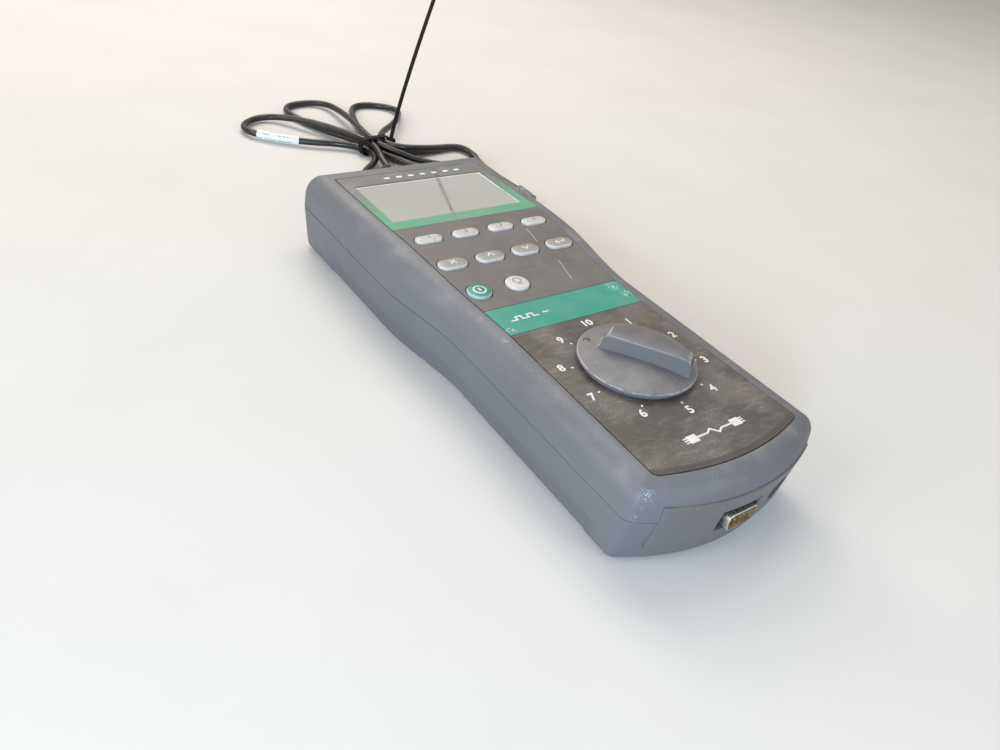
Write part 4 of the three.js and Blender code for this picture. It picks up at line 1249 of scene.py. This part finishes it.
def plate_hole(end):
    """The cutter for a plate's window in the shells."""
    half = PLATE_HALF + GAP
    if end < 0:
        y0, y1 = -HALF_LENGTH - 5, -HALF_LENGTH + 20
    else:
        y0, y1 = HALF_LENGTH - 2 * WALL, HALF_LENGTH + 5
    return box(-half, half, y0, y1, PLATE_LOW - GAP, PLATE_HIGH + GAP)


def top_shell():
    """The upper shell, hollowed, with the recess for the films and the openings under it."""
    foot = PARTING_Z + GAP / 2
    edge = 0.3
    rise = shoulder(FACE_Z - SHOULDER, SIDE_DRAFT, SHOULDER, 14)
    outside = case_form([(foot, edge, 0), (foot + edge, 0, 0), *rise])
    inner = SHOULDER - WALL
    inside = case_form([(foot - 1, WALL, 0), *shoulder(CEILING - inner, SIDE_DRAFT + WALL, inner, 6)])
    display_hole = box(-43.5, 43.5, WINDOW_Y + 5, FACE_TOP_Y - 8, INSIDE_Z, ABOVE_Z)
    shaft_hole = post(0, DIAL_Y, SHAFT_RADIUS + 1.2, INSIDE_Z, ABOVE_Z)
    cutters = [inside, recess(FACE_LOW_Y, FILM + GAP), recess(WINDOW_Y, LENS + GAP)]
    cutters += [display_hole, shaft_hole, plate_hole(1), plate_hole(-1)]
    cutters += [key_prism(column, form, 0.35, INSIDE_Z, ABOVE_Z) for _, column, form, _ in KEYS]
    return finish_piece(cut(outside, *cutters), "case_top", "case_plastic", nodes=["top_shell"])


def grip_relief(side, margin=0):
    """The cutter for the finger hold along a side's lower edge. Its top slopes, and so do its ends."""
    depth = 4.5 + margin
    y0, y1, top = -124 - margin, 118 + margin, 13 + margin
    slope = 10
    reach = HEAD_HALF + 10
    inner = [(half_width(y0), y0)]
    inner += [(half_width(y) - depth, y) for y in spaced(y0 + slope, y1 - slope, 4)]
    inner += [(half_width(y1), y1)]
    outline = [(reach, y0 - slope), *inner, (reach, y1 + slope)]
    return prism([(side * x, y) for x, y in outline], -1, top)


def door_opening(margin, z0, z1):
    return box(-DOOR_HALF - margin, DOOR_HALF + margin, DOOR_LOW_Y - margin, DOOR_HIGH_Y + margin, z0, z1)


def bottom_shell():
    """The lower shell, hollowed, with a ledge for the battery door, screw wells and finger holds."""
    head = PARTING_Z - GAP / 2
    edge = 0.3
    outside = case_form([*heel(BACK_DRAFT, HEEL, 10), (head - edge, 0, 0), (head, edge, 0)])
    hollow = case_form([*heel(BACK_DRAFT + WALL, HEEL - WALL, 4), (head + 1, WALL, 0)])
    cut(hollow, grip_relief(1, WALL), grip_relief(-1, WALL))
    cut(outside, hollow, door_opening(GAP, -1, WALL + 1))
    ledge = 3
    rim = door_opening(ledge, 1, WALL + 2.5)
    cut(rim, door_opening(-ledge, 0, WALL + 3), door_opening(GAP, -1, DOOR_THICK + GAP))
    well_radius, hole_radius = 5.2, 1.7
    join(outside, rim, *[post(x, y, well_radius, 1.2, 12) for x, y in SCREWS])
    cutters = [grip_relief(1), grip_relief(-1), plate_hole(1), plate_hole(-1)]
    sink = [(0, -1), (4.1, -1), (4.1, 0), (3.4, 0.7), (3.4, 4), (0, 4)]  # room for a screw's head
    for x, y in SCREWS:
        cutters += [post(x, y, hole_radius, -1, head), moved(lathe(sink), x, y)]
    cut(outside, *cutters)
    return finish_piece(outside, "case_bottom", "case_plastic", nodes=["bottom_shell"])


def battery_door():
    """The battery door, with finger grooves across one end and its screw's hole at the other."""
    middle = (DOOR_LOW_Y + DOOR_HIGH_Y) / 2
    half_y = (DOOR_HIGH_Y - DOOR_LOW_Y) / 2
    rings = []
    for z, inset in ((0, 0.4), (0.4, 0), (DOOR_THICK, 0)):
        outline = rounded_rectangle(DOOR_HALF - inset, half_y - inset, 1.2, 4)
        rings.append([(x, y + middle, z) for x, y in outline])
    panel = stacked(rings)
    grooves = []
    for y in range(80, 105, 5):
        grooves.append(soften(box(-30, 30, y, y + 2, -1, 0.7), 0.3))
    cut(panel, *grooves, post(0, DOOR_SCREW_Y, 1.7, -1, DOOR_THICK + 1), post(0, DOOR_SCREW_Y, 3.2, -1, 1))
    return finish_piece(panel, "rear_cover", "case_plastic", nodes=["battery_door"])


def screw(name, node, x, y, low, neck, shank, high, crossed):
    """A screw with its head down, from low to high: the head ends and the shank starts at neck."""
    head, slot_half, slot_wide = 2.8, 1.7, 0.35
    profile = [(0, low), (head - 0.5, low), (head - 0.12, low + 0.2), (head, low + 0.5)]
    profile += [(head, neck), (shank, neck), (shank, high), (0, high)]
    slots = [box(-slot_half, slot_half, -slot_wide, slot_wide, low - 1, low + 0.9)]
    if crossed:
        slots.append(box(-slot_wide, slot_wide, -slot_half, slot_half, low - 1, low + 0.9))
    made = cut(lathe(profile, 32), *slots)
    finish_piece(moved(made, x, y), name, "steel", nodes=[node])


def build_case():
    top_shell()
    bottom_shell()
    battery_door()
    for i, (x, y) in enumerate(SCREWS):
        screw(f"shell_screw_{i + 1}", f"case_screw_{i + 1}", x, y, 0.6, 3.4, 1.25, 26, True)
    screw("cover_screw", "door_screw", 0, DOOR_SCREW_Y, 0.2, 0.7, 1.1, 7.5, False)


build_case()


# ---- Face ----


def dial_film():
    made = cut(film(FACE_LOW_Y, BAND_Y - GAP), post(0, DIAL_Y, SHAFT_RADIUS + 1.5, 0, ABOVE_Z))
    finish_piece(made, "dial_overlay", "dial_film", nodes=["dial_film"])


def key_film():
    holes = [key_prism(column, form, 0.6, 0, ABOVE_Z) for _, column, form, _ in KEYS]
    made = cut(film(BAND_TOP_Y + GAP, WINDOW_Y - GAP), *holes)
    finish_piece(made, "key_overlay", "key_film", nodes=["key_film"])


def display_window():
    """The window's printed border, with a softly sloping sill down to the panel."""
    made = face_form(WINDOW_Y, FACE_TOP_Y, [(-LENS, 0), (-0.15, 0), (0, -0.15)])
    half, low, high = 42, 74.2, 121.7
    middle, half_y = (low + high) / 2, (high - low) / 2
    sill = 0.5
    rings = []
    for z, margin in ((-4, 0), (-0.5, 0), (0.1, sill), (4, sill)):
        ring = rounded_rectangle(half + margin, half_y + margin, 0.8, 4)
        rings.append([(x, y + middle, face_height(x, y + middle) + z) for x, y in ring])
    cut(made, stacked(rings))
    finish_piece(made, "window_border", "window_plastic", nodes=["display_window"])
    halves = []
    for depth in (-4.0, -0.55):
        halves.append([(half + 0.4, y, face_height(0, y) + depth) for y in spaced(low - 0.4, high + 0.4, 3)])
    finish_piece(symmetric(halves), "display_pane", "display_glass", nodes=["display_panel"])


def number_ring():
    """Numbers round the dial, clockwise from the right of the top, each with a tick inside it."""
    ring, squash, size = 35.2, 0.985, 6.2
    numbers = []
    for i in range(DIAL_POSITIONS):
        turn = math.pi / 2 - (i + 1) * DIAL_TURN
        x, y = ring * math.cos(turn), squash * ring * math.sin(turn)
        numbers.append(digits(str(i + 1), x, DIAL_Y + y, size, face_height))
        tick = stroke([(share * x, DIAL_Y + share * y) for share in (0.84, 0.875)], 0.8)
        numbers.append(ink_shape(tick, face_height))
    inked(merged(numbers), "dial_numbers")


def lead_emblem():
    """A plain picture of a lead with a plug on each end, below the dial."""
    reach = 15
    marks = stroke([(-reach + 5, 0), (-4, 0), (-1.5, 1.6), (1.5, -1.6), (4, 0), (reach - 5, 0)], 0.9)
    for side in (-1, 1):
        marks += stroke([(side * reach, 0), (side * (reach - 5), 0)], 4.2)
        for lift in (-1.2, 0, 1.2):
            marks += stroke([(side * reach, lift), (side * (reach + 2), lift)], 0.6)
    inked(ink_shape(placed(marks, 0, -125), face_height), "lead_emblem")


def pulse_emblem():
    """A plain pulse waveform on the band."""
    low, high = -1, 1.5
    points = [(-11, low)]
    for start, end in ((-7.5, -4.5), (-1, 2)):
        points += [(start, low), (start, high), (end, high), (end, low)]
    points += [(5, low)]
    marks = stroke(points, 0.8) + stroke([(7.5, 0), (11, 0)], 0.8)
    inked(ink_shape(placed(marks, -22, -25.5), face_height), "pulse_emblem")


def strip_emblem():
    """A row of plain dashes along the strip over the display."""
    marks = []
    for i in range(7):
        marks += stroke([(-24 + 8 * i, 0), (-20.5 + 8 * i, 0)], 2.2)
    inked(ink_shape(placed(marks, 4, 128.4), face_height), "strip_marks")


def scratches():
    lines = stroke([(25, 44.5), (22.8, 31.1)], 0.35) + stroke([(23, 11.4), (19.1, -5.5)], 0.3)
    finish_piece(ink_shape(lines, face_height), "film_scratches", "key_film", skin=SCRATCH)


def on_key(column, form):
    """The height of a key's top over (x, y), as a function."""
    width, height, key_y = form

    def height_at(x, y):
        beside = max(0.0, abs(x - key_x(column)) - (width - height) / 2)
        return key_height(form, height / 2 - math.hypot(beside, y - key_y))

    return height_at


def key_marks():
    """The symbol or number on each key."""
    cross = stroke([(-1.6, -1.6), (1.6, 1.6)], 0.6) + stroke([(-1.6, 1.6), (1.6, -1.6)], 0.6)
    chevron = stroke([(-2, -1.2), (0, 1.2), (2, -1.2)], 0.7)
    flipped = [[(x, -y) for x, y in polygon][::-1] for polygon in chevron]
    returning = stroke([(3, 1.6), (3, -0.6), (-2.6, -0.6)], 0.6)
    returning += stroke([(-1, 0.9), (-2.8, -0.6), (-1, -2.1)], 0.6)
    ring_bar = stroke(arc(0, 0, 3.1, 0, 2 * math.pi, 28), 0.7) + stroke([(0, -1.4), (0, 1.4)], 0.9)
    bulb = stroke(arc(0, 0.8, 2.1, -math.pi * 0.3, math.pi * 1.3, 20), 0.5)
    bulb += stroke([(-1.2, -1.5), (1.2, -1.5)], 0.5) + stroke([(-0.9, -2.4), (0.9, -2.4)], 0.5)
    symbols = [cross, chevron, flipped, returning, ring_bar, bulb]
    for (name, column, form, _), polygons in zip(KEYS[4:], symbols):
        shape = ink_shape(placed(polygons, key_x(column), form[2]), on_key(column, form))
        inked(shape, f"{name}_symbol", name, GREY_INK if name == "light_key" else WHITE_INK)
    for name, column, form, _ in KEYS[:4]:
        number = digits(str(column + 1), key_x(column), form[2], 3.6, on_key(column, form))
        inked(number, f"{name}_number", name, GREY_INK)


def build_face():
    dial_film()
    key_film()
    finish_piece(film(BAND_Y, BAND_TOP_Y), "band_overlay", "band_film", nodes=["band_film"])
    display_window()
    for name, column, form, slot in KEYS:
        finish_piece(key_cap(column, form), f"{name}_cap", slot, body=name, nodes=[name])
    number_ring()
    lead_emblem()
    pulse_emblem()
    strip_emblem()
    scratches()
    key_marks()


build_face()


# ---- Dial ----


def grip_profile(y):
    """Height of the grip's top at a place along it. The pointer's end is at +Y."""
    rim, top = DIAL_RIM_Z, DIAL_TOP_Z
    tail = [(0, rim + 1.2), (0.6, rim + 4.2), (2, top - 1.8), (4, top - 0.5), (7, top)]
    nose = [(6, top), (4.4, top - 0.25), (3.4, top - 1), (2.6, top - 2.4), (2, rim + 5), (1.2, rim + 2.8)]
    points = [(GRIP_TAIL + along, z) for along, z in tail]
    points += [(GRIP_FOOT - along, z) for along, z in nose + [(0, rim + 1.2)]]
    return float(np.interp(y, *zip(*points)))


def knob_disc():
    """The knob's disc: an undercut rim, rounded over, and a floor that rises softly to the grip."""
    rim = [(1.5, -3.3), (1.4, -2), (0.3, -1.7), (0, -1.4), (0, -0.7), (0.15, -0.35), (0.45, -0.1), (0.9, 0)]
    profile = [(0, DIAL_RIM_Z - 3.3)]
    profile += [(DIAL_RADIUS - inwards, DIAL_RIM_Z + z) for inwards, z in rim]
    for radius in (22, 18, 14, 10, 7, 3):
        rise = min(1, (DIAL_RADIUS - radius) / (DIAL_RADIUS - GRIP_HALF))
        profile.append((radius, DIAL_RIM_Z + DIAL_FLOOR_RISE * math.sin(rise * math.pi / 2)))
    profile.append((0, DIAL_RIM_Z + DIAL_FLOOR_RISE))
    return lathe(profile, 128)


def knob_grip():
    """The grip bar across the knob, hollowed at its tail to fit a thumb."""
    base = FACE_Z + 1.5
    section = [(5.0, 0.0), (4.9, 0.2), (4.6, 0.45), (4.45, 0.9), (4.38, 0.96), (4.2, 0.99), (3.9, 1.0)]
    rings = []
    for y in spaced(GRIP_TAIL, GRIP_FOOT, 0.4):
        top = grip_profile(y) - base
        right = [(x, y, base + share * top) for x, share in section]
        rings.append(right + [(-x, py, z) for x, py, z in reversed(right)])
    return cut(stacked(rings), post(0, GRIP_TAIL - 7.5, 9.5, DIAL_RIM_Z + 1, DIAL_TOP_Z + 2, 64))


def knob():
    disc = join(knob_disc(), knob_grip())
    dot_well = post(0, DOT_Y, 1.7, DIAL_RIM_Z - 0.2, DIAL_TOP_Z, 32)
    cut(disc, dot_well, post(0, 0, SHAFT_RADIUS + GAP, 0, DIAL_RIM_Z, 32))
    dome = [(0, -0.3), (1.1, -0.3), (1.1, 0.1), (0.7, 0.35), (0, 0.4)]
    dot = moved(lathe(dome, 24), 0, DOT_Y, DIAL_RIM_Z)
    for part in (disc, dot):
        moved(part, 0, DIAL_Y, 0, DIAL_TURN)
    finish_piece(disc, "selector_knob", "knob_plastic", "dial", ["dial_knob"])
    inked(dot, "pointer_dot", "dial", GREY_INK)


knob()


# ---- Connector ends ----


def d_outline(width, height, radius):
    """The D outline of a nine-way connector, widest at the top, as (x, z) pairs."""
    slant = math.radians(10)
    x, z = width / 2 - radius, height / 2 - radius
    low = x - 2 * z * math.tan(slant)
    return [
        *arc(x, z, radius, -slant, math.pi / 2, 8),
        *arc(-x, z, radius, math.pi / 2, math.pi + slant, 8),
        *arc(-low, -z, radius, math.pi + slant, 1.5 * math.pi, 8),
        *arc(low, -z, radius, 1.5 * math.pi, 2 * math.pi - slant, 8),
    ]


def serial_places():
    """Where the nine pins stand, as (x, z) pairs: five above four."""
    places = []
    for count, lift in ((5, PIN_ROW), (4, -PIN_ROW)):
        places += [(SERIAL_X + (i - (count - 1) / 2) * PIN_PITCH, CONNECTOR_Z + lift) for i in range(count)]
    return places


def d_tube(levels):
    """A solid along Y through D outlines. Each level is (y, width, height, radius)."""
    return stacked([[(SERIAL_X + x, y, CONNECTOR_Z + z) for x, z in d_outline(*size)] for y, *size in levels])


def serial_port():
    rim = SERIAL_RIM
    outside, bore_size = (16.9, 8.4, 2.6), (16.1, 7.6, 2.2)  # width, height and corner radius
    outer = d_tube([(rim, 16.5, 8.0, 2.4), (rim + 0.25, *outside), (SERIAL_FLANGE + 0.6, *outside)])
    flange_levels = [(SERIAL_FLANGE, 0), (SERIAL_FLANGE + 1.2, 0)]
    flange = brick(SERIAL_X, CONNECTOR_Z, 15.4, 6.2, 1, 3, flange_levels)
    bore = d_tube([(rim - 1, *bore_size), (SERIAL_FLANGE + 2, *bore_size)])
    cut(join(outer, flange), bore)
    finish_piece(outer, "serial_housing", "connector_metal", nodes=["serial_shell"])
    front = SERIAL_FLANGE - 1.2
    insert = (15.5, 7, 1.9)
    face = d_tube([(front, 15.1, 6.6, 1.8), (front + 0.3, *insert), (SERIAL_FLANGE + 2, *insert)])
    well_end = SERIAL_FLANGE + 1.5
    cut(face, *[bar(x, z, PIN_RADIUS + GAP, front - 2, well_end, 20) for x, z in serial_places()])
    finish_piece(face, "serial_insert", "black_plastic", nodes=["serial_insulator"], skin=BEIGE_PLASTIC)
    tip, root = rim + 1.5, SERIAL_FLANGE + 1.4
    profile = [(0, -root), (PIN_RADIUS, -root)]
    profile += [(PIN_RADIUS, -tip - 0.5), (0.38, -tip - 0.18), (0.2, -tip - 0.04), (0, -tip)]
    for i, (x, z) in enumerate(serial_places()):
        pin = moved(along_y(lathe(profile, 16)), x, 0, z)
        finish_piece(pin, f"serial_contact_{i + 1}", "pin_gold", nodes=[f"serial_pin_{i + 1}"])


def power_port():
    y0 = -HALF_LENGTH + 10
    body = brick(POWER_X, POWER_Z, 7, 6, 1.2, 4, [(y0, 0.4), (y0 + 0.4, 0), (y0 + 13, 0)])
    cut(body, bar(POWER_X, POWER_Z, 3.2, y0 - 1, y0 + 9))
    finish_piece(body, "power_inlet", "black_plastic", nodes=["power_jack"])
    tip, root = y0 + 1, y0 + 8.5
    profile = [(0, -root), (1, -root), (1, -tip - 0.7), (0.75, -tip - 0.2), (0.4, -tip), (0, -tip)]
    pin = moved(along_y(lathe(profile, 20)), POWER_X, 0, POWER_Z)
    finish_piece(pin, "power_contact", "steel", nodes=["power_pin"])


def connector_end():
    """The plate round the serial port and the power port, with a slot beside a corner of the pocket."""
    y0, y1 = -HALF_LENGTH - 5, -HALF_LENGTH + 20
    pocket = box(SERIAL_X - 10.5, SERIAL_X + 10.5, y0, y1, CONNECTOR_Z - 6, CONNECTOR_Z + 6.2)
    slot = bar(SERIAL_X + 10.3, CONNECTOR_Z + 6.0, 0.9, y0, y1, 20)
    port = bar(POWER_X, POWER_Z, POWER_HOLE, y0, y1, 56)
    made = cut(plate(-1), pocket, slot, port)
    finish_piece(made, "serial_surround", "plate_plastic", nodes=["connector_plate"])
    serial_port()
    power_port()


def port_end():
    half, half_height = 7.2, 5.6
    low, high = CONNECTOR_Z - half_height, CONNECTOR_Z + half_height
    mouth = box(JACK_X - half, JACK_X + half, HALF_LENGTH - 10, HALF_LENGTH + 5, low, high)
    made = cut(plate(1), mouth)
    finish_piece(made, "port_surround", "plate_plastic", nodes=["port_plate"])


connector_end()
port_end()


# ---- CAD nodes that stay ----


def paint_frame():
    slots = {part["node"]: part["material_slot"] for part in frame["record"]["subparts"]}
    for name, node in frame["nodes"].items():
        if not node.hide_render:
            node.data.materials.clear()
            node.data.materials.append(SKINS[slots[name]])


paint_frame()
